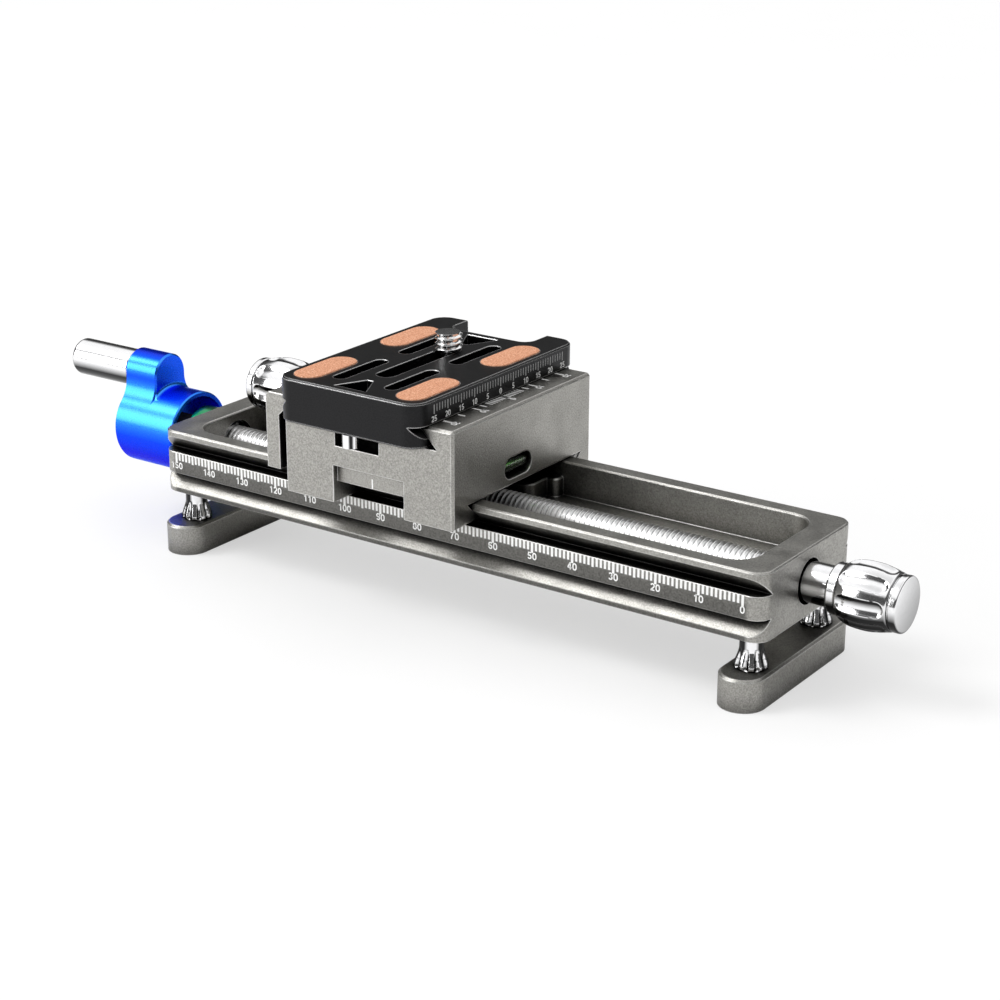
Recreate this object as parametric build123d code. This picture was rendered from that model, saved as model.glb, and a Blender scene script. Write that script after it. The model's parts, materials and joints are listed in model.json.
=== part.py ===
"""Macro focusing rail: every piece as its own solid, in millimetres.

Frame: X runs along the rail (crank at -X, lock knob at +X), Y points to the back,
Z points up.  The origin is the middle of the rail's underside, where a tripod head bears.
"""
from build123d import *
import math
import os

# ---------------------------------------------------------------- driving dimensions
# rail
RAIL_WIDTH = 38.4
RAIL_HEIGHT = 14.8
RAIL_CORNER_R = 3.5
EDGE_BREAK = 0.3
DOVETAIL_DEPTH = 3.6
DOVETAIL_FLOOR = 9.75            # groove floor above the rail's underside
BASE_DEPTH = 3.3                 # lower dovetail groove
BASE_LIP = 1.05
BASE_TOP = 4.65
POCKET_LENGTH = 146.5
END_WALL = 6.25                  # between the pocket and each end face
POCKET_WIDTH = 30.4
POCKET_CORNER_R = 6.0
POCKET_FLOOR = 6.9
TROUGH_HALF = 6.3
TROUGH_FLOOR = 1.9
BOSS_TOP = 11.2
BOSS_HALF = 7.2
BOSS_CORNER_R = 2.2
BOSS_SHOULDER_HALF = 9.8
BOSS_SHOULDER_DEPTH = 2.6        # how far the shoulders stand out of the pocket's wall
BOSS_SHOULDER_R = 1.3
TRIPOD_R = 2.55                  # minor radius of the 1/4 inch tripod thread
TRIPOD_DEPTH = 9.5
# feet, posts and their screws
FOOT_THICK = 7.1
FOOT_LENGTH = 44.0
FOOT_WIDTH = 10.1
FOOT_EDGE = 0.5
POST_HEIGHT = 7.45
POST_Y = 13.9
POST_NECK_R = 2.53
POST_NECK_LENGTH = 3.6
POST_FLARE = 1.02                # how far the post's foot is wider than its neck
POST_RIM = 0.35
POST_SEAT = 0.1                  # depth of the spot face that each post stands in
FOOT_SCREW_R = 1.5
FOOT_SCREW_DEPTH = 5.5
FOOT_HEAD_R = 2.75
FOOT_HEAD_THICK = 3.0
FOOT_HEAD_SUNK = 0.4
# lead screw, M8 x 1.25
SCREW_R = 3.95
JOURNAL_R = 3.0
# left bearing, 6 x 12 x 4
BEARING_R = 6.0
BEARING_WIDTH = 4.0
INNER_RACE_R = 3.9
OUTER_RACE_R = 5.1
BALL_R = 0.79
BALL_COUNT = 9
RETAINER_FLANGE = 1.0
RETAINER_LENGTH = 5.2
RETAINER_SPIGOT = 0.8
RETAINER_EDGE = 0.9
# right bush and lock
BUSH_LENGTH = 2.55
COLLAR_R = 4.3
COLLAR_FLANGE = 0.9
COLLAR_EDGE = 0.25
END_HOLE_R = 4.9
END_HOLE_DEPTH = 2.5
LOCK_COLLAR_LENGTH = 5.8
LOCK_SCREW_R = 2.0
LOCK_SCREW_REACH = 7.0
LOCK_PAD_LENGTH = 3.0
# crank
HUB_R = 10.0
HUB_WALL = 1.1
HUB_WEB = 2.0
HUB_BARREL_LENGTH = 8.5
CRANK_GAP = 0.95                 # from the retainer to the hub's rim
ARM_THICK = 10.0
ARM_EDGE = 0.4
LOBE_R = 5.2
CRANK_THROW = 13.0
CRANK_BLEND_R = 8.0
HUB_FILLET = 1.1                 # where the barrel leaves the arm
CRANK_SCREW_R = 1.5
CRANK_SCREW_HEAD_R = 2.8
CRANK_SCREW_HEAD_THICK = 2.0
CRANK_SCREW_DEPTH = 8.0
JOURNAL_COVER = 3.65             # arm left outside the journal's end
SET_SCREW_R = 1.5
SET_SCREW_SETBACK = 2.85
GRIP_R = 4.5
GRIP_LENGTH = 18.9
GRIP_ROUND = 1.2
GRIP_BOLT_R = 2.0
GRIP_BOLT_HEAD_R = 3.1
GRIP_BOLT_HEAD_THICK = 1.8
GRIP_THREAD_R = 1.5
GRIP_THREAD_LENGTH = 7.0
BOLT_SLOT = 0.7
# fluted knobs
KNOB_LENGTH = 15.7
KNOB_R = 7.0
KNOB_NECK_R = 5.45
KNOB_NECK_LENGTH = 2.1
KNOB_RIM_R = 5.95
KNOB_RIM_LENGTH = 1.7
KNOB_FLUTES = 8
KNOB_RIM_GROOVE = 0.3
KNOB_SHOULDER = 0.45
KNOB_EDGE = 0.35
FLUTE_CUT_R = 4.2
FLUTE_FLOOR_R = 6.05
# carriage
CAR_CENTRE_X = -12.85
CAR_HALF_WIDTH = 26.2
CAR_SKIRT_GAP = 0.9              # above the rail's groove floor
CAR_CEILING_GAP = 0.35
CAR_BODY_RISE = 13.05            # plate channel's floor above the rail's top
CAR_EDGE = 0.55
FIXED_JAW_THICK = 6.3
BODY_MARGIN = 0.45
GIB_THICK = 1.0
GIB_SHORT = 0.4
GIB_SCREW_R = 1.5
GIB_SCREW_STEP = 15.0
INDEX_HALF = 9.55
INDEX_RISE = 4.35
INDEX_RECESS = 1.5
VIAL_Y = -2.35
VIAL_RISE = 4.05
VIAL_WINDOW_LENGTH = 10.3
VIAL_WINDOW_HEIGHT = 4.9
VIAL_SETBACK = 0.8
VIAL_R = 2.2
VIAL_HALF = 4.7
VIAL_WALL = 0.4
VIAL_END = 0.6
NUT_LENGTH = 16.0
NUT_SIDE_GAP = 0.8                # drive nut from the trough's sides
NUT_EDGE = 0.8
BRACKET_LENGTH = 26.0
BRACKET_HALF = 10.5
BRACKET_THICK = 2.5
NUT_SCREW_DX = 9.7
NUT_SCREW_Y = 7.0
NUT_SCREW_R = 1.25
NUT_HEAD_R = 2.3
NUT_HEAD_THICK = 2.5
# movable jaw and its clamp
JAW_GAP = 1.95
JAW_THICK = 3.6
JAW_RISE = 0.45
JAW_EDGE = 0.9
CLAMP_DROP = 4.1                 # screw's axis below the plate channel's floor
CLAMP_SCREW_R = 2.5
CLAMP_THREAD_LENGTH = 12.0
CLAMP_COLLAR_LENGTH = 8.1
CLAMP_SOCKET = 6.0
PIN_R = 1.5
PIN_Y = 17.0
PIN_REACH = 10.0
PIN_CAP = 0.5
SPRING_WIRE_R = 0.25
SPRING_TURNS = 6
SPRING_PLAY = 0.2
SPRING_POCKET_DEPTH = 6.0
# plate
PLATE_WIDTH = 38.25
PLATE_LENGTH = 60.0
PLATE_CORNER_R = 4.0
PLATE_LIFT = 0.3                 # above the channel's floor
PLATE_LAND = 1.9
PLATE_NOTCH = 2.8                # depth and height of the 45 degree side notch
PLATE_UPPER = 5.2
PLATE_EDGE = 0.35
PLATE_OVERHANG_GAP = 0.2
PAD_WIDTH = 7.1
PAD_LENGTH = 17.5
PAD_X = 13.85
PAD_YS = (-18.95, 11.25)
PAD_RECESS = 0.6
PAD_PROUD = 0.25
SLOT_YS = (-17.6, 10.2)
HEAD_CHANNEL_DEPTH = 4.0
SIDE_SLOT_X = 6.95
SIDE_SLOT_WIDTH = 3.4
SIDE_SLOT_LENGTH = 17.2
SIDE_SLOT_YS = (-15.45, 7.6)
WINDOW_DEPTH = 3.4
ARROW_BASE_YS = (-28.0, 20.2)
ARROW_LENGTH = 7.0
ARROW_BASE_HALF = 4.3
ARROW_TIP_HALF = 0.8
REAR_NOTCH_HALF = 11.2
REAR_NOTCH_DEPTH = 8.0
REAR_NOTCH_R = 3.0
STOP_PIN_R = 1.9
STOP_PIN_LENGTH = 3.0
STOP_PIN_FRONT = 1.95            # front pin's axis behind the plate's front edge
STOP_PIN_BACK = 2.6              # back pin's axis in front of the rear notch
STOP_THREAD_R = 1.0
STOP_THREAD_LENGTH = 2.8
STOP_WALL_Y = -2.2
STOP_WALL_THICK = 2.0
STOP_POCKET_HALF = 5.95
STOP_POCKET_DEPTH = 4.1
CAMERA_SCREW_Y = 7.2
CAMERA_SCREW_R = 3.1             # 1/4 inch camera thread
CAMERA_SCREW_RISE = 4.4
CAMERA_SCREW_TIP = 0.6
CAMERA_NECK_R = 2.0
CAMERA_HEAD_R = 5.2
CAMERA_HEAD_THICK = 2.9
CAMERA_KEY_SLOT = 0.9
CAMERA_WASHER_THICK = 0.5
CAMERA_HEAD_GRIP = 1.9           # neck held in the head
# clearances
RUN = 0.05                       # shafts, pins and screws that turn or slide
SLIDE = 0.05                     # square to the dovetail faces
THREAD_PLAY = 0.02               # screws fixed in their own body
BOLT_PLAY = 0.1                  # screws through plain holes
HEAD_PLAY = 0.2                  # screw heads in their recesses
SEAT_GAP = 0.1                   # flanges and bushes from the faces next to them
KNOB_GAP = 0.15                  # knobs from their collars
CRANK_GRIP_GAP = 0.3
NUT_GAP = 0.3                    # drive nut from the trough's floor and the boss
PAD_PLAY = 0.05
SLOT_PLAY = 0.3                  # camera screw's neck in its slot
CHANNEL_PLAY = 0.4               # camera screw's head in its channel
CUT = 1.0                        # how far cutters run past the faces they open

# ---------------------------------------------------------------- derived places
RAIL_TOP = RAIL_HEIGHT
RAIL_LENGTH = POCKET_LENGTH + 2 * END_WALL
AXIS_Z = RAIL_HEIGHT / 2
END_X = RAIL_LENGTH / 2
POCKET_END = POCKET_LENGTH / 2
FLANGE_EDGE_Z = DOVETAIL_FLOOR + DOVETAIL_DEPTH
FOOT_X = END_X - FOOT_WIDTH / 2
FOOT_TOP = -POST_HEIGHT
FOOT_BOTTOM = FOOT_TOP - FOOT_THICK
POST_BASE_R = POST_NECK_R + POST_FLARE
BEARING_OUT_X = -END_X + RETAINER_SPIGOT
BEARING_IN_X = BEARING_OUT_X + BEARING_WIDTH
WALL_HOLE_R = OUTER_RACE_R + HEAD_PLAY
RETAINER_R = BEARING_R + RETAINER_FLANGE
SPACER_R = INNER_RACE_R
BUSH_R = COLLAR_R + SEAT_GAP
BUSH_X0 = POCKET_END + SEAT_GAP
BUSH_X1 = BUSH_X0 + BUSH_LENGTH
SCREW_END_X = BUSH_X1 - SEAT_GAP
COLLAR_SEAT_X = END_X - END_HOLE_DEPTH
LOCK_NECK_X = END_X + LOCK_COLLAR_LENGTH + KNOB_GAP
LOCK_PAD_X0 = SCREW_END_X + THREAD_PLAY
LOCK_PAD_X1 = LOCK_PAD_X0 + LOCK_PAD_LENGTH
HUB_BORE_R = HUB_R - HUB_WALL
CRANK_RIM_X = -END_X - RETAINER_LENGTH - CRANK_GAP
CRANK_STEP_X = CRANK_RIM_X - HUB_BARREL_LENGTH
CRANK_OUTER_X = CRANK_STEP_X - ARM_THICK
NECK_X0 = CRANK_STEP_X + HUB_WEB
JOURNAL_END_X = CRANK_OUTER_X + JOURNAL_COVER
SET_SCREW_X = CRANK_STEP_X - SET_SCREW_SETBACK
GRIP_Z = AXIS_Z + CRANK_THROW
GRIP_X1 = CRANK_OUTER_X - CRANK_GRIP_GAP
GRIP_X0 = GRIP_X1 - GRIP_LENGTH
CAR_LENGTH = FIXED_JAW_THICK + PLATE_WIDTH + BODY_MARGIN
CAR_X0 = CAR_CENTRE_X - CAR_LENGTH / 2
CAR_X1 = CAR_CENTRE_X + CAR_LENGTH / 2
CAR_Z0 = DOVETAIL_FLOOR + CAR_SKIRT_GAP
CEILING_Z = RAIL_TOP + CAR_CEILING_GAP
CHANNEL_FLOOR = RAIL_TOP + CAR_BODY_RISE
PLATE_BOTTOM = CHANNEL_FLOOR + PLATE_LIFT
PLATE_LAND_TOP = PLATE_BOTTOM + PLATE_LAND
PLATE_UNDERSIDE = PLATE_LAND_TOP + PLATE_NOTCH
PLATE_TOP = PLATE_UNDERSIDE + PLATE_UPPER
CAR_TOP = PLATE_UNDERSIDE - PLATE_OVERHANG_GAP
INDEX_TOP = RAIL_TOP + INDEX_RISE
VIAL_Z = RAIL_TOP + VIAL_RISE
VIAL_X = CAR_X1 - VIAL_SETBACK - VIAL_R
GIB_SCREW_Z = (CAR_Z0 + CEILING_Z) / 2
JAW_X1 = CAR_X0 - JAW_GAP
JAW_X0 = JAW_X1 - JAW_THICK
JAW_BOTTOM = RAIL_TOP + JAW_RISE
CLAMP_Z = CHANNEL_FLOOR - CLAMP_DROP
CLAMP_NECK_X = JAW_X0 - CLAMP_COLLAR_LENGTH - KNOB_GAP
SPRING_R = PIN_R + RUN + SPRING_WIRE_R + SPRING_PLAY
SPRING_POCKET_R = SPRING_R + SPRING_WIRE_R + SPRING_PLAY
PLATE_X1 = CAR_X1 - FIXED_JAW_THICK
PLATE_X0 = PLATE_X1 - PLATE_WIDTH
PLATE_CENTRE_X = (PLATE_X0 + PLATE_X1) / 2
PLATE_BACK = PLATE_LENGTH / 2
STOP_PIN_YS = (-PLATE_BACK + STOP_PIN_FRONT, PLATE_BACK - REAR_NOTCH_DEPTH - STOP_PIN_BACK)
SLOT_HALF = CAMERA_NECK_R + SLOT_PLAY
HEAD_CHANNEL_HALF = CAMERA_HEAD_R + CHANNEL_PLAY
HEAD_CHANNEL_TOP = PLATE_BOTTOM + HEAD_CHANNEL_DEPTH
WINDOW_FLOOR = PLATE_TOP - WINDOW_DEPTH
PAD_FLOOR = PLATE_TOP - PAD_RECESS
CAMERA_THREAD_Z0 = PLATE_TOP + SLOT_PLAY
CAMERA_WASHER_Z1 = HEAD_CHANNEL_TOP - HEAD_PLAY
CAMERA_WASHER_Z0 = CAMERA_WASHER_Z1 - CAMERA_WASHER_THICK
CAMERA_HEAD_Z1 = CAMERA_WASHER_Z0 - SEAT_GAP
CAMERA_HEAD_Z0 = CAMERA_HEAD_Z1 - CAMERA_HEAD_THICK
NUT_HALF = TROUGH_HALF - NUT_SIDE_GAP
NUT_BOTTOM = TROUGH_FLOOR + NUT_GAP
NUT_TOP = CEILING_Z - BRACKET_THICK
NUT_X0 = PLATE_CENTRE_X - NUT_LENGTH / 2
NUT_X1 = PLATE_CENTRE_X + NUT_LENGTH / 2
NUT_SCREW_PLACES = [(PLATE_CENTRE_X + a * NUT_SCREW_DX, b * NUT_SCREW_Y) for a in (-1, 1) for b in (-1, 1)]
NUT_HEAD_Z = CHANNEL_FLOOR - NUT_HEAD_THICK - PLATE_LIFT
BOSS_FRONT = NUT_HALF + NUT_GAP
TRIPOD_Y = (BOSS_FRONT + POCKET_WIDTH / 2) / 2


# ---------------------------------------------------------------- helpers
def block(x0, x1, y0, y1, z0, z1):
    centre = ((x0 + x1) / 2, (y0 + y1) / 2, (z0 + z1) / 2)
    return Pos(*centre) * Box(x1 - x0, y1 - y0, z1 - z0)


def rod_x(radius, x0, x1, y=0.0, z=AXIS_Z):
    return Pos((x0 + x1) / 2, y, z) * Rot(0, 90, 0) * Cylinder(radius, x1 - x0)


def rod_y(radius, y0, y1, x, z):
    return Pos(x, (y0 + y1) / 2, z) * Rot(90, 0, 0) * Cylinder(radius, y1 - y0)


def rod_z(radius, z0, z1, x=0.0, y=0.0):
    return Pos(x, y, (z0 + z1) / 2) * Cylinder(radius, z1 - z0)


def prism_x(points, x0, x1):
    """Extrude an outline given in (y, z) from x0 to x1."""
    face = make_face(Plane.YZ.offset(x0) * Polyline(*points, close=True))
    return extrude(face, amount=x1 - x0, dir=(1, 0, 0))


def prism_y(points, y0, y1):
    """Extrude an outline given in (x, z) from y0 to y1."""
    face = make_face(Polyline(*[(x, y0, z) for x, z in points], close=True))
    return extrude(face, amount=y1 - y0, dir=(0, 1, 0))


def prism_z(points, z0, z1):
    """Extrude an outline given in (x, y) from z0 to z1."""
    face = make_face(Polyline(*[(x, y, z0) for x, y in points], close=True))
    return extrude(face, amount=z1 - z0, dir=(0, 0, 1))


def stadium_z(width, y0, y1, z0, z1, x=0.0):
    """A round-ended bar along Y."""
    r = width / 2
    ends = rod_z(r, z0, z1, x, y0 + r) + rod_z(r, z0, z1, x, y1 - r)
    return ends + block(x - r, x + r, y0 + r, y1 - r, z0, z1)


def turned_x(profile, z=AXIS_Z):
    """Turn a (x, radius) outline about the X direction at height z."""
    face = make_face(Polyline(*[(x, 0, z + r) for x, r in profile], close=True))
    return revolve(face, Axis((0, 0, z), (1, 0, 0)), 360)


def turned_z(profile, x, y):
    """Turn a (radius, z) outline about a vertical axis."""
    face = make_face(Polyline(*[(x + r, y, z) for r, z in profile], close=True))
    return revolve(face, Axis((x, y, 0), (0, 0, 1)), 360)


# ---------------------------------------------------------------- rail and its fittings
def rail_body():
    rail = extrude(RectangleRounded(RAIL_LENGTH, RAIL_WIDTH, RAIL_CORNER_R), amount=RAIL_HEIGHT)
    rail = chamfer(rail.edges().group_by(Axis.Z)[-1], EDGE_BREAK)
    half = RAIL_WIDTH / 2
    inner = half - DOVETAIL_DEPTH
    base_inner = half - BASE_DEPTH
    out = half + CUT
    slope_top = BASE_LIP + BASE_DEPTH
    for side in (-1, 1):
        upper = [
            (side * out, FLANGE_EDGE_Z + CUT),
            (side * inner, DOVETAIL_FLOOR),
            (side * out, DOVETAIL_FLOOR),
        ]
        lower = [
            (side * out, BASE_LIP - CUT),
            (side * base_inner, slope_top),
            (side * base_inner, BASE_TOP),
            (side * out, BASE_TOP),
        ]
        rail -= prism_x(upper, -END_X - CUT, END_X + CUT)
        rail -= prism_x(lower, -END_X - CUT, END_X + CUT)
    return rail - rail_hollow() - rail_holes()


def rail_hollow():
    plan = RectangleRounded(POCKET_LENGTH, POCKET_WIDTH, POCKET_CORNER_R)
    depth = RAIL_HEIGHT - POCKET_FLOOR
    hollow = extrude(Pos(0, 0, POCKET_FLOOR) * plan, amount=depth + CUT)
    rim = RectangleRounded(
        POCKET_LENGTH + 2 * EDGE_BREAK, POCKET_WIDTH + 2 * EDGE_BREAK, POCKET_CORNER_R + EDGE_BREAK
    )
    hollow += extrude(Pos(0, 0, RAIL_TOP) * rim, amount=-EDGE_BREAK, taper=45)
    trough = block(-POCKET_END, POCKET_END, -TROUGH_HALF, TROUGH_HALF, TROUGH_FLOOR, POCKET_FLOOR)
    return hollow - boss_block() + trough


def boss_block():
    """The raised block on the pocket's far ledge that holds the tripod thread."""
    wall = POCKET_WIDTH / 2
    main = block(-BOSS_HALF, BOSS_HALF, BOSS_FRONT, wall + CUT, POCKET_FLOOR, BOSS_TOP)
    main = fillet(main.edges().filter_by(Axis.Z).group_by(Axis.Y)[0], BOSS_CORNER_R)
    front = wall - BOSS_SHOULDER_DEPTH
    shoulder = block(-BOSS_SHOULDER_HALF, BOSS_SHOULDER_HALF, front, wall + CUT, POCKET_FLOOR, BOSS_TOP)
    shoulder = fillet(shoulder.edges().filter_by(Axis.Z).group_by(Axis.Y)[0], BOSS_SHOULDER_R)
    boss = main + shoulder
    return chamfer(boss.edges().group_by(Axis.Z)[-1].group_by(Axis.Y)[:-1], EDGE_BREAK)


def rail_holes():
    holes = rod_x(BEARING_R, -END_X - CUT, BEARING_IN_X)
    holes += rod_x(WALL_HOLE_R, BEARING_IN_X, -POCKET_END + CUT)
    holes += rod_x(BUSH_R, POCKET_END - CUT, COLLAR_SEAT_X)
    holes += rod_x(END_HOLE_R, COLLAR_SEAT_X, END_X + CUT)
    holes += rod_z(TRIPOD_R, -CUT, TRIPOD_DEPTH, 0, TRIPOD_Y)
    for x, y in post_places():
        holes += rod_z(FOOT_SCREW_R, -CUT, FOOT_SCREW_DEPTH, x, y)
        holes += rod_z(POST_NECK_R + HEAD_PLAY, -CUT, POST_SEAT, x, y)
    return holes


def post_places():
    return [(sx * FOOT_X, sy * POST_Y) for sx in (-1, 1) for sy in (-1, 1)]


def foot(side):
    x = side * FOOT_X
    bar = stadium_z(FOOT_WIDTH, -FOOT_LENGTH / 2, FOOT_LENGTH / 2, FOOT_BOTTOM, FOOT_TOP, x)
    bar = chamfer(bar.edges().group_by(Axis.Z)[-1], FOOT_EDGE)
    recess_top = FOOT_BOTTOM + FOOT_HEAD_SUNK + FOOT_HEAD_THICK
    for y in (-POST_Y, POST_Y):
        bar -= rod_z(FOOT_SCREW_R + BOLT_PLAY, FOOT_BOTTOM - CUT, FOOT_TOP + CUT, x, y)
        bar -= rod_z(FOOT_HEAD_R + HEAD_PLAY, FOOT_BOTTOM - CUT, recess_top, x, y)
    return bar


def post(x, y):
    """A bell-shaped spacer between foot and rail."""
    bore = FOOT_SCREW_R + BOLT_PLAY
    flare_top = -POST_NECK_LENGTH
    mid = (FOOT_TOP + flare_top) / 2
    profile = [
        (bore, FOOT_TOP),
        (POST_BASE_R - POST_RIM, FOOT_TOP),
        (POST_BASE_R, FOOT_TOP + POST_RIM),
        (POST_NECK_R + POST_FLARE / 2, mid),
        (POST_NECK_R, flare_top),
        (POST_NECK_R, POST_SEAT),
        (bore, POST_SEAT),
    ]
    return turned_z(profile, x, y)


def foot_posts():
    return Compound([post(x, y) for x, y in post_places()])


def socket_screw_up(x, y):
    """A foot screw, its head in the foot and its thread in the rail."""
    head_z = FOOT_BOTTOM + FOOT_HEAD_SUNK
    head = rod_z(FOOT_HEAD_R, head_z, head_z + FOOT_HEAD_THICK, x, y)
    shank = rod_z(FOOT_SCREW_R, head_z + FOOT_HEAD_THICK / 2, FOOT_SCREW_DEPTH - SEAT_GAP, x, y)
    socket = extrude(Pos(x, y, head_z) * RegularPolygon(FOOT_HEAD_R / 2, 6), amount=FOOT_HEAD_THICK / 2)
    return head + shank - socket


def foot_screws():
    return Compound([socket_screw_up(x, y) for x, y in post_places()])


# ---------------------------------------------------------------- lead screw and bearings
def leadscrew():
    thread_end = POCKET_END - RUN
    threaded = rod_x(SCREW_R, BEARING_IN_X, thread_end)
    shaft = rod_x(JOURNAL_R, JOURNAL_END_X, SCREW_END_X)
    tapped = rod_x(CRANK_SCREW_R, JOURNAL_END_X - CUT, JOURNAL_END_X + CRANK_SCREW_DEPTH)
    return threaded + shaft - tapped


def race_groove():
    mid_x = (BEARING_OUT_X + BEARING_IN_X) / 2
    mid_r = (INNER_RACE_R + OUTER_RACE_R) / 2
    return Pos(mid_x, 0, AXIS_Z) * Rot(0, 90, 0) * Torus(mid_r, BALL_R + RUN)


def bearing_inner_race():
    ring = rod_x(INNER_RACE_R, BEARING_OUT_X, BEARING_IN_X)
    bore = rod_x(JOURNAL_R, BEARING_OUT_X - CUT, BEARING_IN_X + CUT)
    return ring - bore - race_groove()


def bearing_outer_race():
    ring = rod_x(BEARING_R, BEARING_OUT_X, BEARING_IN_X)
    bore = rod_x(OUTER_RACE_R, BEARING_OUT_X - CUT, BEARING_IN_X + CUT)
    return ring - bore - race_groove()


def bearing_balls():
    mid_x = (BEARING_OUT_X + BEARING_IN_X) / 2
    mid_r = (INNER_RACE_R + OUTER_RACE_R) / 2
    balls = []
    for k in range(BALL_COUNT):
        a = 2 * math.pi * k / BALL_COUNT
        balls.append(Pos(mid_x, mid_r * math.cos(a), AXIS_Z + mid_r * math.sin(a)) * Sphere(BALL_R))
    return Compound(balls)


def bearing_retainer():
    x0 = -END_X - RETAINER_LENGTH
    bore = SPACER_R + CHANNEL_PLAY
    profile = [
        (x0, bore),
        (x0, RETAINER_R - RETAINER_EDGE),
        (x0 + RETAINER_EDGE, RETAINER_R),
        (-END_X, RETAINER_R),
        (-END_X, BEARING_R),
        (BEARING_OUT_X, BEARING_R),
        (BEARING_OUT_X, bore),
    ]
    return turned_x(profile)


def journal_spacer():
    sleeve = rod_x(SPACER_R, NECK_X0, BEARING_OUT_X)
    return sleeve - rod_x(JOURNAL_R, NECK_X0 - CUT, BEARING_OUT_X + CUT)


def end_bush():
    bush = rod_x(BUSH_R, BUSH_X0, BUSH_X1)
    return bush - rod_x(JOURNAL_R + RUN, BUSH_X0 - CUT, BUSH_X1 + CUT)


# ---------------------------------------------------------------- crank
def crank_outline():
    """Pear shape in (y, z) about the screw's axis: hub circle, lobe circle, concave blends."""
    far = HUB_R + CRANK_BLEND_R
    near = LOBE_R + CRANK_BLEND_R
    bz = (far**2 - near**2 + CRANK_THROW**2) / (2 * CRANK_THROW)
    by = math.sqrt(far**2 - bz**2)
    hub_t = (by * HUB_R / far, bz * HUB_R / far)
    lobe_t = (by * LOBE_R / near, CRANK_THROW + (bz - CRANK_THROW) * LOBE_R / near)
    corners = [(-hub_t[0], hub_t[1]), hub_t, lobe_t, (-lobe_t[0], lobe_t[1])]
    neck = Polygon(*corners, align=None)
    outline = Circle(HUB_R) + Pos(0, CRANK_THROW) * Circle(LOBE_R) + neck
    return outline - Pos(by, bz) * Circle(CRANK_BLEND_R) - Pos(-by, bz) * Circle(CRANK_BLEND_R)


def yz_plane(x):
    """A sketch plane square to X, whose x and y are the model's y and z, on the screw's axis."""
    return Plane(origin=(x, 0, AXIS_Z), x_dir=(0, 1, 0), z_dir=(1, 0, 0))


def hub_fillet():
    """The hollow curve between the arm's inner face and the barrel, kept inside the arm's outline."""
    f = HUB_FILLET
    base = AXIS_Z + HUB_R
    top = (CRANK_STEP_X, 0, base + f)
    mid = (CRANK_STEP_X + f * (1 - math.sqrt(0.5)), 0, base + f * (1 - math.sqrt(0.5)))
    tip = (CRANK_STEP_X + f, 0, base)
    sides = Polyline(tip, (CRANK_STEP_X + f, 0, base - CUT), (CRANK_STEP_X, 0, base - CUT), top)
    ring = revolve(make_face(ThreePointArc(top, mid, tip) + sides), Axis((0, 0, AXIS_Z), (1, 0, 0)), 360)
    plan = offset(crank_outline(), -ARM_EDGE)
    return ring & extrude(yz_plane(CRANK_STEP_X) * plan, amount=f)


def crank_hub():
    arm = extrude(yz_plane(CRANK_OUTER_X) * crank_outline(), amount=ARM_THICK)
    faces = arm.edges().group_by(Axis.X)
    arm = chamfer(faces[0] + faces[-1], ARM_EDGE)
    barrel = rod_x(HUB_R, CRANK_STEP_X - ARM_THICK / 2, CRANK_RIM_X)
    barrel = chamfer(barrel.edges().group_by(Axis.X)[-1], EDGE_BREAK)
    hub = arm + barrel + hub_fillet() - rod_x(HUB_BORE_R, NECK_X0, CRANK_RIM_X + CUT)
    hub -= rod_x(JOURNAL_R, JOURNAL_END_X, NECK_X0 + CUT)
    hub -= rod_x(CRANK_SCREW_R + BOLT_PLAY, CRANK_OUTER_X - CUT, JOURNAL_END_X + CUT)
    recess = CRANK_OUTER_X + CHANNEL_PLAY + CRANK_SCREW_HEAD_THICK
    hub -= rod_x(CRANK_SCREW_HEAD_R + HEAD_PLAY, CRANK_OUTER_X - CUT, recess)
    tapped = GRIP_THREAD_LENGTH + CHANNEL_PLAY
    hub -= rod_x(GRIP_THREAD_R, CRANK_OUTER_X - CUT, CRANK_OUTER_X + tapped, 0, GRIP_Z)
    return hub - rod_y(SET_SCREW_R, 0, HUB_R + CUT, SET_SCREW_X, AXIS_Z)


def crank_screw():
    head_x = CRANK_OUTER_X + CHANNEL_PLAY
    neck_x = head_x + CRANK_SCREW_HEAD_THICK
    head = rod_x(CRANK_SCREW_HEAD_R, head_x, neck_x)
    shank = rod_x(CRANK_SCREW_R - THREAD_PLAY, neck_x - CUT, JOURNAL_END_X + CRANK_SCREW_DEPTH - CUT)
    hexagon = RegularPolygon(CRANK_SCREW_HEAD_R / 2, 6)
    return head + shank - extrude(yz_plane(head_x) * hexagon, amount=CRANK_SCREW_HEAD_THICK / 2)


def hex_socket_y(x, y, z, radius, depth):
    """A hexagonal socket cut in the -Y direction from height y."""
    plane = Plane(origin=(x, y, z), x_dir=(1, 0, 0), z_dir=(0, -1, 0))
    return extrude(plane * RegularPolygon(radius, 6), amount=depth)


def crank_set_screw():
    top = HUB_R - JOURNAL_R / 3
    screw = rod_y(SET_SCREW_R - THREAD_PLAY, JOURNAL_R, top, SET_SCREW_X, AXIS_Z)
    return screw - hex_socket_y(SET_SCREW_X, top, AXIS_Z, SET_SCREW_R / 2, SET_SCREW_R)


def crank_grip():
    grip = rod_x(GRIP_R, GRIP_X0, GRIP_X1, 0, GRIP_Z)
    grip = fillet(grip.edges().group_by(Axis.X)[0], GRIP_ROUND)
    grip = chamfer(grip.edges().group_by(Axis.X)[-1], EDGE_BREAK)
    grip -= rod_x(GRIP_BOLT_R + RUN, GRIP_X0 - CUT, GRIP_X1 + CUT, 0, GRIP_Z)
    recess = GRIP_X0 + GRIP_BOLT_HEAD_THICK + 2 * CHANNEL_PLAY
    return grip - rod_x(GRIP_BOLT_HEAD_R + HEAD_PLAY, GRIP_X0 - CUT, recess, 0, GRIP_Z)


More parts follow.
